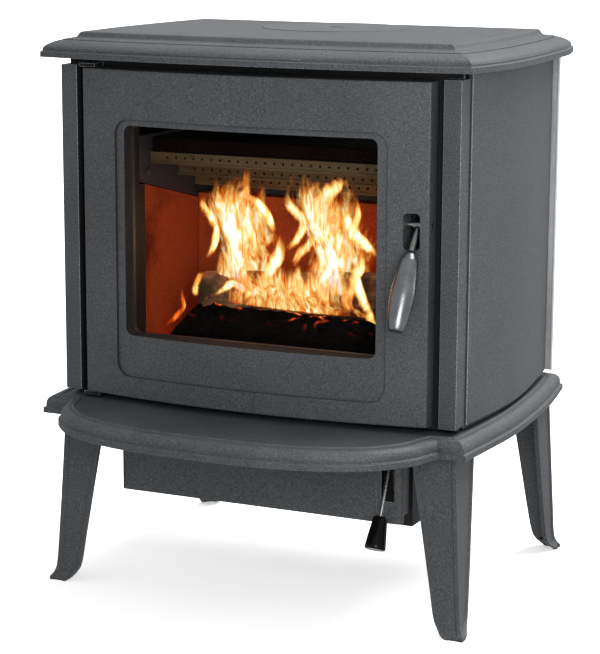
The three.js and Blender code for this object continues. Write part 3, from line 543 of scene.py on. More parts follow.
def split_wood():
    """The torn grain of a split log, scorched in places."""
    paint = Finish("split_wood", Specular_IOR_Level=0.2)
    grain = paint.noise(120, 5, 0.6, (0.07, 1, 1), 0.4)
    scorch = paint.span(paint.noise(14, 4, 0.62), 0.42, 0.62, 0.0, 0.9)
    wood = paint.ramp(grain, (0.25, (0.11, 0.045, 0.016)), (0.5, (0.33, 0.16, 0.06)),
                      (0.8, (0.58, 0.34, 0.15)))
    paint.set("Base Color", paint.mix(scorch, wood, (0.012, 0.008, 0.006)))
    paint.roughen(grain, 0.75, 0.95)
    paint.bump(grain, 1.5, 0.8)
    paint.bump(paint.noise(300, 3), 0.5, 0.4)
    return paint.material


def ember_bed():
    """Lumps of charcoal and ash, with fire between them."""
    paint = Finish("ember_bed", Specular_IOR_Level=0.2)
    lumps = paint.cells(58, "DISTANCE_TO_EDGE")
    ash = paint.noise(90, 4, 0.65)
    paint.tint(ash, (0.35, (0.006, 0.005, 0.005)), (0.55, (0.045, 0.04, 0.036)),
               (0.8, (0.20, 0.19, 0.175)))
    paint.roughen(ash, 0.8, 1.0)
    heat = paint.calc("MULTIPLY", paint.span(lumps, 0.0, 0.16, 1.0, 0.0),
                     paint.span(paint.noise(20, 3), 0.36, 0.6))
    paint.glow(paint.calc("MULTIPLY", heat, 5.0), heat, (0.0, (0.5, 0.02, 0.0)),
               (0.6, (1.0, 0.18, 0.012)), (1.0, (1.0, 0.5, 0.1)))
    paint.bump(paint.span(lumps, 0.0, 0.3), 3.0, 0.8)
    paint.bump(ash, 0.8, 0.6)
    return paint.material


FLAME_COLOURS = ((0.0, (0.5, 0.03, 0.0)), (0.2, (0.85, 0.13, 0.008)), (0.4, (1.0, 0.36, 0.05)),
                 (0.62, (1.0, 0.65, 0.2)), (0.82, (1.0, 0.9, 0.58)), (1.0, (1.0, 0.98, 0.88)))


def flame(name, thickness, brightness, streak):
    """Burning gas: clear at its edges and tips, brightest along its middle."""
    paint = Finish(name, Base_Color=(0, 0, 0, 1), Roughness=1.0, Specular_IOR_Level=0.0)
    middle = paint.attribute("middle")
    life = paint.attribute("life")
    wisps = paint.noise(34, 4, 0.6, (1.0, 1.0, 0.42), 1.3)
    lines = paint.noise(88, 3, 0.55, (1.0, 1.0, 0.24), 1.6)
    body = paint.calc("MULTIPLY", middle, life)
    torn = paint.calc("ADD", body, paint.span(wisps, 0.3, 0.7, -0.5, 0.22))
    alpha = paint.span(torn, 0.04, 0.85, 0.0, thickness, "SMOOTHSTEP")
    foot = paint.span(body, 0.0, 0.3, kind="SMOOTHSTEP")
    paint.set("Alpha", paint.calc("MULTIPLY", alpha, foot, clamp=True))
    depth = paint.calc("ADD", 0.12, paint.calc("MULTIPLY", torn, 0.78))
    heat = paint.calc("ADD", paint.calc("MULTIPLY", paint.attribute("hotness"), depth),
                     paint.span(lines, 0.32, 0.68, -streak, streak), clamp=True)
    paint.glow(paint.span(heat, 0.0, 1.0, 0.6 * brightness, brightness), heat, *FLAME_COLOURS)
    paint.material.surface_render_method = "BLENDED"
    return paint.material


iron = cast_iron("cast_iron", IRON, 0.56)
# Iron 3.6 times lighter for the bevel faces: a painted highlight along the edges.
iron_edge_highlight = cast_iron("cast_iron_edge_highlight", scaled(IRON, 3.6), 0.4)
# The round plate's iron is smoother, and 1.3 times lighter as a painted sheen.
iron_plate_sheen = cast_iron("cast_iron_plate_sheen", scaled(IRON, 1.3), 0.62)
# Near black iron: painted shade on faces in the gaps behind the door and the top plate, and on the
# door's back and window reveal.
iron_shaded = cast_iron("cast_iron_painted_shade", scaled(IRON, 0.07), 0.85)
steel = sheet_steel("sheet_steel", SHEET, 0.5)
# Sheet steel twice as light for the bevel faces: a painted highlight along the edges.
steel_edge_highlight = sheet_steel("sheet_steel_edge_highlight", scaled(SHEET, 2.0), 0.42)
# Near black steel: painted shade on the hinge pins in the gap beside the door, and soot with
# painted shade on the firebox shell.
soot_and_shade_steel = sheet_steel("sooted_and_shaded_steel", scaled(SHEET, 0.1), 0.85, 0.0, 0.08)
# Dark iron: soot on the front liner, and painted shade on the ash housing under the base plate.
smoke_and_shade_iron = sheet_steel("smoked_and_shaded_iron", scaled(SHEET, 0.3), 0.6, 0.1, 0.3)
# Much lighter iron for the liner's bevel faces: a painted highlight along the edges.
liner_edge_highlight = sheet_steel("liner_iron_edge_highlight", scaled(SHEET, 2.6), 0.45, 0.3)
hot_steel = sheet_steel("scorched_steel", (0.095, 0.06, 0.026), 0.55, 0.35, 0.2)
shield = heat_shield()
bolt_steel = bright_steel("bright_steel", (0.59, 0.58, 0.56))
rod_steel = bright_steel("satin_steel", (0.24, 0.24, 0.235))
# Lighter scorched steel for the manifold's bevel faces: a painted highlight along the edges.
hot_edge_highlight = sheet_steel("scorched_steel_edge_highlight", (0.3, 0.21, 0.11), 0.4, 0.35)
grip_finish = grip_metal()
knob_finish = gloss_black()
brick = vermiculite("vermiculite", -0.02, 0.78)
# Nearly black board for the baffle: soot, and painted shade at the top of the firebox.
brick_soot_and_shade = vermiculite("vermiculite_sooted_and_shaded", 0.5, 0.99)
glass = ceramic_glass()
rope = rope_fibre()
bark = charred_bark()
wood = split_wood()
embers = ember_bed()
veil = flame("flame_veil", 0.85, 1.4, 0.34)
ribbon = flame("flame_ribbon", 0.97, 1.8, 0.16)

# ---- top plate and round plate


def bowed(x, y, bow):
    """Knots of a front edge that stands forward at its middle."""
    return [(x * t, y - bow * (1 - t * t)) for t in (0, 0.25, 0.5, 0.75, 1)]


TOP_EDGE = (bowed(300, -19, 24),
            [(300, -19), (312, 40), (318.2, 118), (316, 200), (311, 270), (305, 344), (290, 410)])
FLAT_EDGE = (bowed(259, 20, 13),
             [(259, 20), (263.5, 90), (265, 160), (263.5, 240), (259.5, 305), (254, 362)])
# (share of the moulding's width from the outer edge, height above the plate's underside)
TOP_PROFILE = ((0.008, 0), (0, 0.5), (0, 7.3), (0.045, 8.1), (0.056, 8.5), (0.057, 11),
               (0.075, 12.6), (0.11, 14.5), (0.16, 16.3), (0.23, 18.1), (0.31, 19.7), (0.39, 21),
               (0.455, 21.9), (0.485, 22), (0.49, 20.9), (0.505, 20.5), (0.525, 20.8),
               (0.535, 22.7), (0.56, 23.4), (0.7, 24.2), (0.835, 25.1), (0.865, 25.7),
               (0.892, 27.2), (0.922, 29.2), (0.95, 30.9), (0.972, 31.9), (1, 32.4))
# (inset from the flat's edge, height against the flat)
GROOVE = ((17.4, 0), (17.9, -0.75), (19.3, -0.75), (19.8, 0))
FLAT_UNDERSIDE = 738
SEAT_BLOCK = 728                 # underside of the thick ring that carries the round plate
SEAT_BORE_R = 88
ABOVE = 760                      # clear of the whole stove


def top_plate():
    steps = {"front_steps": 28, "side_steps": 44}
    outer = plate_ring(*TOP_EDGE, 0, **steps)
    inner = plate_ring(*FLAT_EDGE, 0, **steps)
    rings = [[(*p.lerp(q, share), TOP_Z + rise) for p, q in zip(outer, inner)]
             for share, rise in TOP_PROFILE]
    for inset, rise in GROOVE:
        ring = plate_ring(*FLAT_EDGE, inset, **steps)
        rings.append([(p.x, p.y, STOVE_TOP + rise) for p in ring])
    plate = new_object("top_plate_casting", *loft(rings))
    hollow_ring = plate_ring(*FLAT_EDGE, 4, **steps)
    hollow = new_object("tool", *loft([[(*p, z) for p in hollow_ring]
                                       for z in (TOP_Z - 2, FLAT_UNDERSIDE)]))
    combine(hollow, tool_round(0, COOKING_Y, SEAT_BLOCK, ABOVE, COOKING_R + 9))
    combine(plate, hollow, tool_round(0, COOKING_Y, TOP_Z - 3, ABOVE, SEAT_BORE_R),
            tool_round(0, COOKING_Y, SEAT_Z - 0.3, ABOVE, COOKING_R + 0.6, 128))
    finish_piece(plate, iron, "stove_body", "cast_iron", "top_plate", edge_highlight=iron_edge_highlight)
    soften(plate, 0.5)


def cooking_plate():
    """Round plate with an oval lifting recess."""
    levels = ((99, 99, 0), (COOKING_R, COOKING_R, 1), (COOKING_R, COOKING_R, 7.4),
              (99.5, 99.5, 8.25), (98.6, 98.6, 8.6), (15, 9.4, 8.6), (14, 8.6, 8.35),
              (13.2, 7.9, 7.6), (11, 6.4, 4.9), (9, 5.2, 4.1))
    rings = [[(p.x, COOKING_Y + p.y, SEAT_Z + z) for p in turn_about(128, rx, ry)]
             for rx, ry, z in levels]
    plate = new_object("cooking_plate_disc", *loft(rings))
    finish_piece(plate, iron_plate_sheen, "cooking_lid", "cast_iron", "cooking_plate", edge_highlight=iron_edge_highlight)
    soften(plate, 0.3)


top_plate()
cooking_plate()

# ---- base plate and legs

BASE_EDGE = ([(0, FRONT_Y), (80, -158.5), (150, -145), (205, -120), (236, -92), (254, -66),
              (263, -38.5), (269.5, -24)],
             [(302.5, -24), (311, 81), (313.2, 144), (309.8, 228), (302, 318), (287, 416)])
# (inset from the edge, height above the plate's underside)
BASE_PROFILE = ((0.6, 0), (0, 0.6), (0, 7), (0.3, 7.6), (3, 8.7), (3.5, 9.3), (3.5, 12.5),
                (3.8, 15), (4.6, 17.3), (6, 19.5), (7.9, 21.5), (10.2, 23.1), (12.6, 24.1),
                (15, 24.5), (18, 24.5), (18.5, 25.1), (19.2, 26.1), (20.2, 26.4), (21.2, 26.4),
                (22.2, 26), (22.9, 25), (23.4, 24.5))
ROOF = 253.5                     # underside of the base plate's flat


def base_plate():
    """The steps of 0.02 mm in the roof keep the cutters' faces off each other."""
    rings = [[(p.x, p.y, BASE_Z + rise) for p in plate_ring(*BASE_EDGE, inset, 56, 36, block=0.62)]
             for inset, rise in BASE_PROFILE]
    plate = new_object("base_plate_casting", *loft(rings))
    combine(plate, tool_box(-212, 212, -4, 398, BASE_Z - 1, ROOF),
            tool_box(-282, 282, 72, 330, BASE_Z - 2, ROOF + 0.02),
            tool_box(-176, 176, -118, -2, BASE_Z - 3, ROOF + 0.04),
            tool_box(-90, 90, 94, 222, BASE_Z - 4, 270),
            tool_box(172, 196, 110, 190, BASE_Z - 5, 271))
    finish_piece(plate, iron, "stove_body", "cast_iron", "base_plate", edge_highlight=iron_edge_highlight)
    soften(plate, 0.5)


# Each leg is an angle in plan. A station gives the height, the ridge on its outer corner, the
# free end of the face plate, and the free end of the side plate.
LEG_TOP = own("leg_front_left")[1].z
FRONT_LEG = ((LEG_TOP, 281, -2, 221, 68), (150, 285.6, -4.8, 236, 51), (70, 290.4, -7.6, 250, 33),
             (26, 293.4, -9.6, 257.5, 22), (12, 296, -12.5, 264, 12), (4, 301, -17.5, 271, -1),
             (0, 301, -18.5, 277, -6))
REAR_LEG = ((LEG_TOP, 271, 404, 211, 345), (150, 274.4, 409, 226, 358), (70, 277.8, 414, 239, 372),
            (26, 279.6, 417.5, 247, 382), (12, 282, 420.5, 253, 392), (4, 287, 425.5, 260, 405),
            (0, 287, 426.5, 266, 410))
LEG_WALL = 6
RIB = 5
RIB_RISE = 1.7


def leg_stations(stations, steps=7):
    """Stations in between, none of them beyond the two that it lies between."""
    made = []
    for k in range(len(stations) - 1):
        for i in range(steps):
            t = (k + i / steps) / (len(stations) - 1)
            low, high = stations[k], stations[k + 1]
            between = blend_knots(stations, t)
            made.append([min(max(v, min(a, b)), max(a, b)) for v, a, b in zip(between, low, high)])
    return made + [list(stations[-1])]


def leg_outline(station, mirror, into):
    """The angle section: a rib along each free edge and a raised ridge down the outer corner."""
    z, x, y, face, side = station
    skin_x, skin_y = x - RIB_RISE, y + into * RIB_RISE
    run = RIB + RIB_RISE
    points = [(face, y), (face + RIB, y), (face + run, skin_y), (x - run, skin_y), (x - RIB, y),
              (x, y), (x, y + into * RIB), (skin_x, y + into * run), (skin_x, side - into * run),
              (x, side - into * RIB), (x, side), (x - LEG_WALL, side),
              (x - LEG_WALL, y + into * LEG_WALL), (face, y + into * LEG_WALL)]
    return [(mirror * px, py, z) for px, py in points]


def leg_wedge(station, mirror, z):
    """A triangle that fills the angle section, for its flange and its sole."""
    _, x, y, face, side = station
    near = y + math.copysign(1, side - y)
    return [(mirror * px, py, z) for px, py in ((x - 1, near), (x - 1, side), (face, near))]


def leg(end, stations, side_name, mirror):
    into = math.copysign(1, stations[0][4] - stations[0][2])
    fine = leg_stations(stations)
    obj = new_object(f"leg_{end}_{side_name}_casting",
                     *loft([leg_outline(s, mirror, into) for s in fine]))
    flange = new_object("tool", *loft([leg_wedge(fine[0], mirror, LEG_TOP - 6),
                                       leg_wedge(fine[0], mirror, LEG_TOP - 0.01)]))
    sole_stations = [s for s in fine if s[0] <= 12]
    sole = new_object("tool", *loft([leg_wedge(s, mirror, s[0] + 0.01) for s in sole_stations]))
    combine(obj, flange, sole, operation="UNION")
    finish_piece(obj, iron, "stove_body", "cast_iron", f"leg_{end}_{side_name}", edge_highlight=iron_edge_highlight)
    soften(obj, 0.8)


base_plate()
for end_name, leg_shape in (("front", FRONT_LEG), ("rear", REAR_LEG)):
    for side_name, mirror in (("left", -1), ("right", 1)):
        leg(end_name, leg_shape, side_name, mirror)

# ---- flue collar


def flue_collar():
    low, high = own("flue_collar")
    middle = (low + high) / 2
    outer, bore, flange = 74.5, 71, 96
    profile = ((bore, low.y), (flange - 0.8, low.y), (flange, low.y + 0.8), (flange, low.y + 4.2),
               (flange - 0.8, low.y + 5), (outer + 5, low.y + 5), (outer + 1.5, low.y + 6.5),
               (outer, low.y + 10), (outer, high.y - 0.8), (outer - 0.8, high.y),
               (bore + 0.8, high.y), (bore, high.y - 0.8))
    rings = [[(p.x, y, middle.z + p.y) for p in turn_about(96, r, r)] for r, y in profile]
    collar = new_object("flue_collar_spigot", *loft(rings, closed=True))
    finish_piece(collar, iron, "stove_body", "cast_iron", "flue_collar", edge_highlight=iron_edge_highlight)
    soften(collar, 0.3)


flue_collar()

# ---- handle, lever and knob


def turned(name, profile, steps, place):
    """A body of revolution: profile holds (radius, height) pairs from axis to axis."""
    rings = [[(p.x, p.y, h) for p in turn_about(steps, r, r)] for r, h in profile]
    return new_object(name, *loft(rings), place=place)


def tilted(x, y, z, tilt):
    """Places a body whose own axis is its height, tilted so that its lower end comes forward."""
    turn = Matrix.Rotation(-tilt, 4, "X")
    base = at(x, y, z)
    return lambda px, py, pz: base + (turn @ Vector((px, py, pz))) * MM


GRIP_TOP = (-21, 493)
GRIP_END = (-68, 402)
HANDLE = (225, 4.5, 523)
GRIP_LENGTH = math.hypot(GRIP_END[0] - GRIP_TOP[0], GRIP_END[1] - GRIP_TOP[1])
GRIP_TILT = math.atan2(GRIP_TOP[0] - GRIP_END[0], GRIP_TOP[1] - GRIP_END[1])


def handle_grip():
    shape = ((7.4, 0.02), (8.9, 0.045), (10.6, 0.09), (12, 0.14), (13.5, 0.27), (14.8, 0.4),
             (15.8, 0.53), (15.2, 0.65), (13.9, 0.78), (11.8, 0.91), (10, 0.97))
    flank = smooth(shape, 48)
    profile = [(3.6, -0.9), (6.2, -1.1)] + [(r, -share * GRIP_LENGTH) for r, share in flank]
    profile += [(9.4, -GRIP_LENGTH + 1.4), (8.8, -GRIP_LENGTH + 0.4), (7.6, -GRIP_LENGTH)]
    grip = turned("handle_grip_casting", profile, 56, tilted(HANDLE[0], *GRIP_TOP, GRIP_TILT))
    finish_piece(grip, grip_finish, "door_handle", "grip_metal", "handle_grip")
    soften(grip, 0.2)


LEVER = (184.5, 28, 218)
LEVER_TILT = math.radians(25.7)
KNOB_AT = 79
KNOB_LENGTH = 43


def lever_knob():
    y = LEVER[1] - KNOB_AT * math.sin(LEVER_TILT)
    z = LEVER[2] - KNOB_AT * math.cos(LEVER_TILT)
    top = [(2.0, 0.0), (6.4, 0.0), (8.0, -0.5), (9.0, -1.4), (9.5, -2.8)]
    shape = ((9.6, -4), (10.5, -12), (11.6, -21), (12.8, -32), (13.55, -39))
    flank = [tuple(p) for p in smooth(shape, 20)]
    foot = [(13.6, -40.6), (13.2, -41.9), (12.4, -42.7), (11.0, -KNOB_LENGTH),
            (3, -KNOB_LENGTH + 0.6)]
    knob = turned("air_lever_knob_moulding", top + flank + foot, 56,
                  tilted(LEVER[0] - 1.5, y, z, LEVER_TILT))
    finish_piece(knob, knob_finish, "air_control", "knob", "air_lever_knob")
    soften(knob, 0.1)


handle_grip()
lever_knob()

# ---- rope seal on the door


def door_seal():
    """A round woven rope in the groove at the back of the door."""
    low, high = own("door_seal")
    half = 4.0
    path = rounded_rect(low.x + half, high.x - half, low.z + half, high.z - half, 8, 6)
    dense = []
    for p, q in zip(path, path[1:] + path[:1]):
        steps = max(1, round((q - p).length / 2.2))
        dense += [p.lerp(q, i / steps) for i in range(steps)]
    rings = []
    around = 12
    for k, p in enumerate(dense):
        way = (dense[(k + 1) % len(dense)] - dense[k - 1]).normalized()
        out = Vector((way.y, -way.x))
        ring = []
        for i in range(around):
            a = 2 * math.pi * i / around
            twist = k * 0.62
            strand = 0.35 * abs(math.sin(1.5 * a + twist)) + 0.25 * abs(math.sin(1.5 * a - twist))
            r = half - 0.05 - strand
            side = p + out * (r * math.cos(a))
            ring.append((side.x, (low.y + high.y) / 2 + r * math.sin(a), side.y))
        rings.append(ring)
    seal = new_object("door_seal_rope", *loft(rings, closed=True))
    finish_piece(seal, rope, "door", "rope", "door_seal")
    shade_smooth(seal)


door_seal()

# ---- air manifold with its holes

RISERS = ((90, 569), (170, 544), (220, 525))
MANIFOLD_TOP = 583
MANIFOLD_BACK = 300
MANIFOLD_WALL = 3
HOLE_PITCH = 13.2
HOLE_R = 1.9


def manifold():
    half = BRICK_X - 0.4
    outer = [(RISERS[0][0], MANIFOLD_TOP)]
    for i, (y, z) in enumerate(RISERS):
        outer.append((y, z))
        outer.append((RISERS[i + 1][0] if i + 1 < len(RISERS) else MANIFOLD_BACK, z))
    outer.append((MANIFOLD_BACK, MANIFOLD_TOP))
    wall = MANIFOLD_WALL
    inner = [(y + (-wall if y == MANIFOLD_BACK else wall),
              z + (-wall if z == MANIFOLD_TOP else wall)) for y, z in outer]
    body = new_object("air_manifold", *loft([[(x, y, z) for y, z in outer] for x in (-half, half)]))
    core = new_object("tool", *loft([[(x, y, z) for y, z in inner] for x in (-half - 1, half + 1)]))
    combine(body, core)
    verts, faces = [], []
    for y, z in RISERS:
        count = int((half - 14) / HOLE_PITCH)
        for i in range(-count, count + 1):
            ring = turn_about(12, HOLE_R, HOLE_R)
            more, sides = loft([[(i * HOLE_PITCH + p.x, depth, z + 7 + p.y) for p in ring]
                                for depth in (y - 1, y + wall + 1)])
            faces += [tuple(len(verts) + k for k in side) for side in sides]
            verts += more
    combine(body, new_object("tool", verts, faces))
    hems = [tool_box(-half, half, y - 2.2, y + 1, z - 1.4, z + 1) for y, z in RISERS]
    top_hem = tool_box(-half, half, RISERS[0][0] - 2.4, RISERS[0][0] + 1, MANIFOLD_TOP - 2.2,
                       MANIFOLD_TOP - 0.05)
    combine(body, *hems, top_hem, operation="UNION")
    finish_piece(body, hot_steel, "stove_body", "sheet_steel", "baffle_manifold", edge_highlight=hot_edge_highlight)
    soften(body, 0.6)


manifold()

# ---- CAD nodes that stay

KEPT = (
    (("front_frame", "side_panel_left", "side_panel_right", "back_panel", "top_outlet_cover"),
     (iron, iron_edge_highlight, iron_shaded), 1.0),
    (("ash_drawer_front", "air_control_cover", "grate"), (iron, iron_edge_highlight), 0.5),
    (("front_liner",), (smoke_and_shade_iron, liner_edge_highlight), 1.0),
    (("door",), (iron, iron_edge_highlight, iron_shaded), 0.9),
    (("handle_pin", "air_lever_pin", *(f"{kind}_screw_{i}" for kind in ("shield", "glass")
                                       for i in (1, 2, 3, 4)),
      *(f"leg_bolt_{end}_{side}" for end in ("front", "rear") for side in ("left", "right"))),
     (bolt_steel,), 0.35),
    (("handle_lever", "air_lever"), (rod_steel,), 0.35),
    # Hinge pins and firebox shell are near black: painted shade in the gaps, with soot on the
    # shell.
    (("hinge_pin_lower", "hinge_pin_upper", "firebox_shell"), (soot_and_shade_steel,), 0.35),
    # The ash housing is darkened as painted shade under the base plate; its lighter steel edges are
    # painted highlights.
    (("ash_housing",), (smoke_and_shade_iron, steel), 0.5),
    (("ash_pan", "glass_retainer", "latch_keeper", "air_flap",
      "baffle_bracket_left", "baffle_bracket_right", "bracket_bolt_left", "bracket_bolt_right",
      "rear_air_duct"), (steel, steel_edge_highlight), 0.4),
    (("rear_heat_shield",), (shield,), 0.5),
    (("brick_left", "brick_right", "floor_brick", "brick_rear"), (brick,), 1.5),
    (("baffle_board",), (brick_soot_and_shade,), 1.5),
    (("door_glass",), (glass,), 0.5),
    (("glass_gasket",), (rope,), 0.4),
)

for names, materials, width in KEPT:
    for name in names:
        kept = nodes[name]
        kept.data.materials.clear()
        for material in materials:
            kept.data.materials.append(material)
        soften(kept, width)


def paint_shade_black(name, shaded_where):
    """Gives a CAD node its third finish, a near black painted shade, wherever the given test says
    so, from a face's middle in the stove's own millimetres and its normal."""
    kept = nodes[name]
    shift = at(0, 0, 0)
    for face in kept.data.polygons:
        if shaded_where((kept.matrix_world @ face.center - shift) / MM, face.normal):
            face.material_index = 2


FRAME_SIDE_X = own("front_frame")[1].x - 1
DOOR_COVERS_X = 257
TOP_COVERS_Z = 700
FRAME_FACE_DEPTH = 12
GLAZING = own("door_glass")


def behind_the_door(middle, normal):
    """The front frame is painted near black as shade wherever the door and the top plate cover it.
    """
    covered = (abs(middle.x) < DOOR_COVERS_X or middle.z > TOP_COVERS_Z
               or middle.y > FRAME_FACE_DEPTH)
    return covered and abs(middle.x) < FRAME_SIDE_X


def inside_the_door(middle, normal):
    """The back of the door and the reveal of its window are painted near black as shade too."""
    within = all(GLAZING[0][k] < middle[k] < GLAZING[1][k] for k in (0, 2))
    return normal.y > 0.5 or (within and abs(normal.y) < 0.3)


# Painted shade: covered frame faces and the door's back and reveal turn near black.
paint_shade_black("front_frame", behind_the_door)
paint_shade_black("door", inside_the_door)

# ---- logs and embers


def set_values(obj, name, values):
    layer = obj.data.attributes.new(name, "FLOAT", "POINT")
    layer.data.foreach_set("value", values)


def log(name, start, end, radius, seed, outline, material, rough, glow, slant=0.0):
    """A log along its own X axis. outline gives the share of the radius at an angle, and slant
    leans the cut at its first end."""
    start, end = at(*start), at(*end)
    length = (end - start).length / MM
    around, along = 72, max(30, round(length / 4))
    rings = []
    for k in range(along + 1):
        x = length * k / along
        end_round = 1 - 0.10 * math.exp(-min(x, length - x) / 5)
        ring = []
        for i in range(around):
            a = 2 * math.pi * i / around
            grain = noise.noise(Vector((x * 0.012, 3.2 * math.cos(a), 3.2 * math.sin(a) + seed)))
            lumps = noise.noise(Vector((x * 0.03, 1.3 * math.cos(a) + seed, 1.3 * math.sin(a))))
            chips = noise.noise(Vector((x * 0.09 + seed, 5.5 * math.cos(a), 5.5 * math.sin(a))))
            relief = 0.9 * grain + 1.1 * lumps + 0.6 * chips
            r = radius * outline(a) * end_round * (1 + rough * relief)
            lean = slant * (r * math.sin(a) + radius * 0.6) * max(0.0, 1 - x / 70)
            ring.append((x + lean, r * math.cos(a), r * math.sin(a)))
        rings.append(ring)
    obj = new_object(name, *loft(rings), place=lambda x, y, z: Vector((x, y, z)) * MM)
    set_values(obj, "glow", [glow * max(0.0, 2.6 * v.co.z / (radius * MM) - 1.3)
                             for v in obj.data.vertices])
    way = (end - start).normalized()
    side = Vector((0, 0, 1)).cross(way).normalized()
    turn = Matrix((way, side, way.cross(side))).transposed().to_4x4()
    obj.matrix_world = Matrix.Translation(start) @ turn
    bpy.context.view_layer.update()
    finish_piece(obj, material, "stove_body", "vermiculite")
    soften(obj, 1.2, limit=50)


def round_log(a):
    return 1.0


def split_log(flat_at, depth):
    """A log that was split along flat faces, each at an angle and a share of its radius."""
    def outline(a):
        sides = [depth / max(math.cos(a - math.radians(f)), 1e-3) for f in flat_at
                 if math.cos(a - math.radians(f)) > 0.05]
        return min([1.0, *sides])
    return outline


log("log_front", (-163, 92, 348), (140, 88, 343), 35, 4.0, split_log((65, 150, 280), 0.84), bark,
    0.16, 1.0, 0.7)
log("log_rear_low", (-152, 168, 346), (118, 178, 350), 36, 9.0, split_log((95, 200), 0.8), wood,
    0.07, 0)
log("log_rear_top", (-148, 150, 385), (150, 160, 404), 32, 15.0, split_log((60, 170, 290), 0.74),
    wood, 0.07, 0)
log("log_back", (150, 204, 340), (-60, 196, 332), 30, 21.0, round_log, bark, 0.12, 0.8)


def ember_mound():
    """A bed of charcoal on the floor bricks, heaped up under the logs."""
    x0, x1, y0, y1 = -BRICK_X + 2, BRICK_X - 2, 78, BRICK_REAR_Y - 2
    columns, rows = 96, 40
    verts = []
    for j in range(rows + 1):
        for i in range(columns + 1):
            x, y = x0 + (x1 - x0) * i / columns, y0 + (y1 - y0) * j / rows
            u, v = abs(2 * i / columns - 1), abs(2 * j / rows - 1)
            heap = (1 - u ** 4) * (1 - v ** 6)
            coarse, fine = Vector((x, y, 0)) * 0.05, Vector((x, y, 9)) * 0.12
            lumps = 7 * noise.noise(coarse) + 4 * noise.noise(fine)
            verts.append((x, y, FLOOR_TOP + 0.7 + max(0.0, heap * (22 + lumps))))
    faces = grid_faces(rows + 1, columns + 1)
    rim = list(range(columns)) + [columns + j * (columns + 1) for j in range(rows)]
    rim += [rows * (columns + 1) + i for i in range(columns, 0, -1)]
    rim += [j * (columns + 1) for j in range(rows, 0, -1)]
    low = len(verts)
    verts += [(verts[i][0], verts[i][1], FLOOR_TOP + 0.6) for i in rim]
    count = len(rim)
    faces += [(rim[k], low + k, low + (k + 1) % count, rim[(k + 1) % count]) for k in range(count)]
    faces.append(tuple(range(low, low + count)))
    bed = new_object("ember_bed", verts, faces)
    finish_piece(bed, embers, "stove_body", "vermiculite")
    shade_smooth(bed)


ember_mound()

# ---- flames


def flame_sheet(name, point, rows, count, material, heat, tip_fade=0.3, foot_fade=0.08):
    """A sheet of burning gas. point(u, v) gives its places in millimetres, with u from 0 to 1
    across it and v from its foot to its tip. It is clear at its sides, its tip and its foot."""
    verts, middle, life = [], [], []
    for j in range(rows):
        u = j / (rows - 1)
        for i in range(count):
            v = i / (count - 1)
            verts.append(point(u, v))
            middle.append(1 - (2 * u - 1) ** 2)
            life.append(min(1.0, v / foot_fade) * min(1.0, (1 - v) / tip_fade))
    sheet = new_object(name, verts, grid_faces(rows, count))
    set_values(sheet, "middle", middle)
    set_values(sheet, "life", life)
    set_values(sheet, "hotness", [heat] * len(verts))
    finish_piece(sheet, material, "stove_body", "vermiculite")
    shade_smooth(sheet)
    sheet.visible_shadow = False
    sheet.visible_diffuse = False


def ribbon_flame(name, depth, knots, width, heat):
    """A narrow bright flame along a smooth line of (x, z) knots, at a depth behind the door."""
    def point(u, v):
        way = ahead(knots, v)
        across = 2 * u - 1
        half = width * 0.62 * (0.16 + 0.84 * math.sin(math.pi * (0.06 + 0.9 * v)) ** 0.8)
        side = spline(knots, v) + Vector((way.y, -way.x)) * (half * across)
        return side.x, depth + half * 0.5 * (1 - across ** 2) + 6 * math.sin(3 * v), side.y
    flame_sheet(name, point, 9, 41, ribbon, heat, 0.35, 0.22)


def veil_flame(name, depth, left, right, heat):
    """A broad flame between two smooth lines of (x, z) knots that run from its foot to its tips."""
    def point(u, v):
        p = spline(left, v).lerp(spline(right, v), u)
        return p.x, depth - 14 * math.sin(math.pi * u) + 8 * math.sin(4 * v + 3 * u), p.y
    flame_sheet(name, point, 21, 37, veil, heat)


def side_flame(name, turn, x, foot, tip):
    """A flame seen end-on, so that the fire has depth from the side too."""
    def point(u, v):
        spread = (1 - 0.75 * v) * 44
        return (x + 8 * math.sin(5 * v + turn),
                150 + spread * (2 * u - 1) + 10 * math.sin(3.2 * v), foot + (tip - foot) * v)
    flame_sheet(name, point, 13, 31, veil, 0.8)


VEILS = (
    ("flame_left_back", 160, ((-150, 400), (-138, 450), (-150, 500), (-142, 545)),
     ((-40, 400), (-30, 445), (-36, 500), (-58, 560)), 0.8),
    ("flame_left_front", 138, ((-136, 408), (-124, 455), (-140, 505), (-130, 540)),
     ((-55, 402), (-58, 450), (-52, 500), (-66, 572)), 1.0),
    ("flame_right_back", 164, ((-20, 405), (-4, 455), (-16, 510), (-2, 560)),
     ((112, 405), (118, 450), (100, 500), (88, 545)), 0.85),
    ("flame_right_front", 136, ((-6, 400), (10, 450), (-14, 515), (2, 572)),
     ((96, 395), (92, 445), (84, 495), (72, 548)), 1.0),
    ("flame_low", 124, ((-132, 378), (-128, 392), (-120, 410), (-110, 432)),
     ((126, 372), (124, 392), (118, 415), (108, 450)), 0.66),
)
for sheet_name, depth, left_line, right_line, heat in VEILS:
    veil_flame(sheet_name, depth, left_line, right_line, heat)

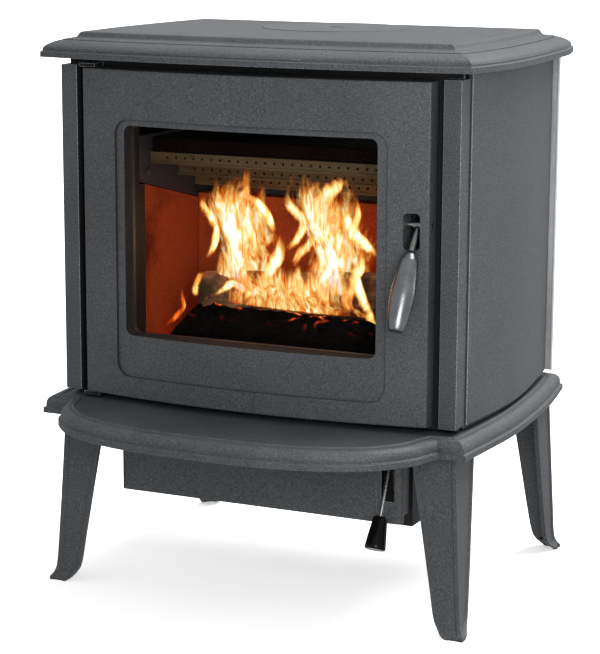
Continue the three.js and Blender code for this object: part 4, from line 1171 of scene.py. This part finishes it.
# (depth, width, heat, knots from foot to tip)
RIBBONS = (
    (130, 15, 0.9, ((-144, 431), (-130, 444), (-123, 469), (-127, 488), (-141, 508), (-133, 540))),
    (126, 24, 1.0, ((-123, 422), (-92, 454), (-76, 480), (-98, 506), (-108, 530))),
    (132, 18, 1.0, ((-60, 440), (-72, 480), (-86, 512), (-78, 534), (-73, 568))),
    (134, 15, 0.9, ((-34, 462), (-42, 492), (-62, 514), (-86, 520), (-96, 500))),
    (118, 13, 1.0, ((-137, 379), (-112, 391), (-90, 405), (-65, 395), (-47, 404), (-28, 424),
                    (-24, 461))),
    (122, 20, 1.0, ((-52, 400), (-36, 428), (-24, 452), (-20, 480))),
    (120, 12, 0.75, ((-143, 382), (-149, 394), (-141, 413), (-132, 404))),
    (130, 16, 1.0, ((-24, 450), (-5, 465), (6, 482), (7, 497), (-12, 515), (-15, 535), (-1, 568))),
    (126, 18, 1.0, ((-4, 431), (6, 451), (26, 472), (48, 485), (58, 510), (49, 546))),
    (134, 26, 1.0, ((26, 470), (22, 505), (36, 528), (60, 548), (72, 538))),
    (116, 16, 1.0, ((59, 376), (49, 394), (43, 417), (54, 438), (65, 462), (62, 482), (66, 512))),
    (128, 18, 1.0, ((122, 452), (100, 470), (82, 484), (70, 508), (74, 530))),
    (102, 17, 1.0, ((132, 350), (114, 388), (95, 428), (104, 446), (106, 474))),
    (128, 12, 0.8, ((78, 470), (80, 488), (88, 512), (85, 545))),
    (112, 18, 0.9, ((84, 372), (80, 398), (88, 420), (82, 446))),
    (110, 16, 0.85, ((10, 384), (16, 402), (8, 424), (14, 446))),
    (112, 14, 0.85, ((-70, 384), (-62, 402), (-72, 420), (-64, 440))),
    (86, 9, 0.35, ((-176, 345), (-162, 358), (-151, 373), (-152, 392), (-147, 410))),
    (78, 9, 0.8, ((128, 352), (134, 366), (130, 384))),
)
for number, (depth, width, heat, knots) in enumerate(RIBBONS, 1):
    ribbon_flame(f"flame_ribbon_{number:02d}", depth, knots, width, heat)

side_flame("flame_side_1", 1, -96, 400, 540)
side_flame("flame_side_2", 2, 46, 398, 545)

# ---- floor, lights and camera


def floor():
    size = 30.0
    mesh = bpy.data.meshes.new("floor")
    corners = [(-size, -size, 0), (size, -size, 0), (size, size, 0), (-size, size, 0)]
    mesh.from_pydata(corners, [], [(0, 1, 2, 3)])
    ground = bpy.data.objects.new("floor", mesh)
    bpy.context.scene.collection.objects.link(ground)
    paint = Finish("floor_paper", Roughness=0.9, Specular_IOR_Level=0.1, Emission_Strength=0.46,
                   Emission_Color=(1, 1, 1, 1))
    paint.tint(paint.noise(3, 2), (0.3, (0.90, 0.90, 0.90)), (0.7, (0.93, 0.93, 0.93)))
    mesh.materials.append(paint.material)
    ground.visible_diffuse = False
    ground.visible_glossy = False


def lamp(name, kind, power, place=(0, 0, 0), aim=None, **values):
    """A light that shines along aim."""
    data = bpy.data.lights.new(name, kind)
    data.energy = power
    for key, value in values.items():
        setattr(data, key, value)
    obj = bpy.data.objects.new(name, data)
    obj.location = place
    if aim:
        obj.rotation_mode = "QUATERNION"
        obj.rotation_quaternion = Vector(aim).to_track_quat("-Z", "Y")
    bpy.context.scene.collection.objects.link(obj)


def soft_box(name, place, target, width, height, power):
    lamp(name, "AREA", power, place, Vector(target) - Vector(place), shape="RECTANGLE",
         size=width, size_y=height)


floor()
lamp("overhead", "SUN", 5.2, aim=(-0.62, -0.78, -1.9), angle=math.radians(45))
soft_box("right", (2.4, 2.2, 0.9), (0, 0.3, 0.4), 1.2, 1.2, 11)
soft_box("front_right", (1.0, -1.5, 0.75), (0.35, -0.1, 0.35), 0.9, 0.9, 18)
soft_box("strip", (1.4, -2.3, 1.5), (0.2, -0.1, 0.45), 0.25, 1.1, 5)
for fire_name, fire_place, power in (("fire_left", (-90, 130, 460), 0.16),
                                     ("fire_right", (50, 130, 470), 0.2)):
    lamp(fire_name, "POINT", power, at(*fire_place), color=(1.0, 0.30, 0.07),
         shadow_soft_size=40 * MM)

world = bpy.data.worlds.new("studio")
world.use_nodes = True
backdrop = world.node_tree.nodes["Background"]
backdrop.inputs["Color"].default_value = (1, 1, 1, 1)
rays = world.node_tree.nodes.new("ShaderNodeLightPath")
strength = world.node_tree.nodes.new("ShaderNodeMath")
strength.operation = "MAXIMUM"
strength.inputs[1].default_value = 0.64
world.node_tree.links.new(rays.outputs["Is Camera Ray"], strength.inputs[0])
world.node_tree.links.new(strength.outputs[0], backdrop.inputs["Strength"])
bpy.context.scene.world = world

view = bpy.context.scene.view_settings
view.view_transform = "Standard"
view.look = "None"

CAMERA_PLACE = (1.1767, -2.57375, 0.9197)
CAMERA_TURN = 0.4279             # to the right of straight on
CAMERA_DROP = 0.1985             # below level
CAMERA_ROLL = 0.0045
lens = bpy.data.cameras.new("camera")
lens.lens = 117.85
lens.sensor_width = 36
camera = bpy.data.objects.new("camera", lens)
camera.matrix_world = (Matrix.Translation(CAMERA_PLACE) @ Matrix.Rotation(CAMERA_TURN, 4, "Z")
                       @ Matrix.Rotation(math.pi / 2 - CAMERA_DROP, 4, "X")
                       @ Matrix.Rotation(CAMERA_ROLL, 4, "Z"))
bpy.context.scene.collection.objects.link(camera)
bpy.context.scene.camera = camera
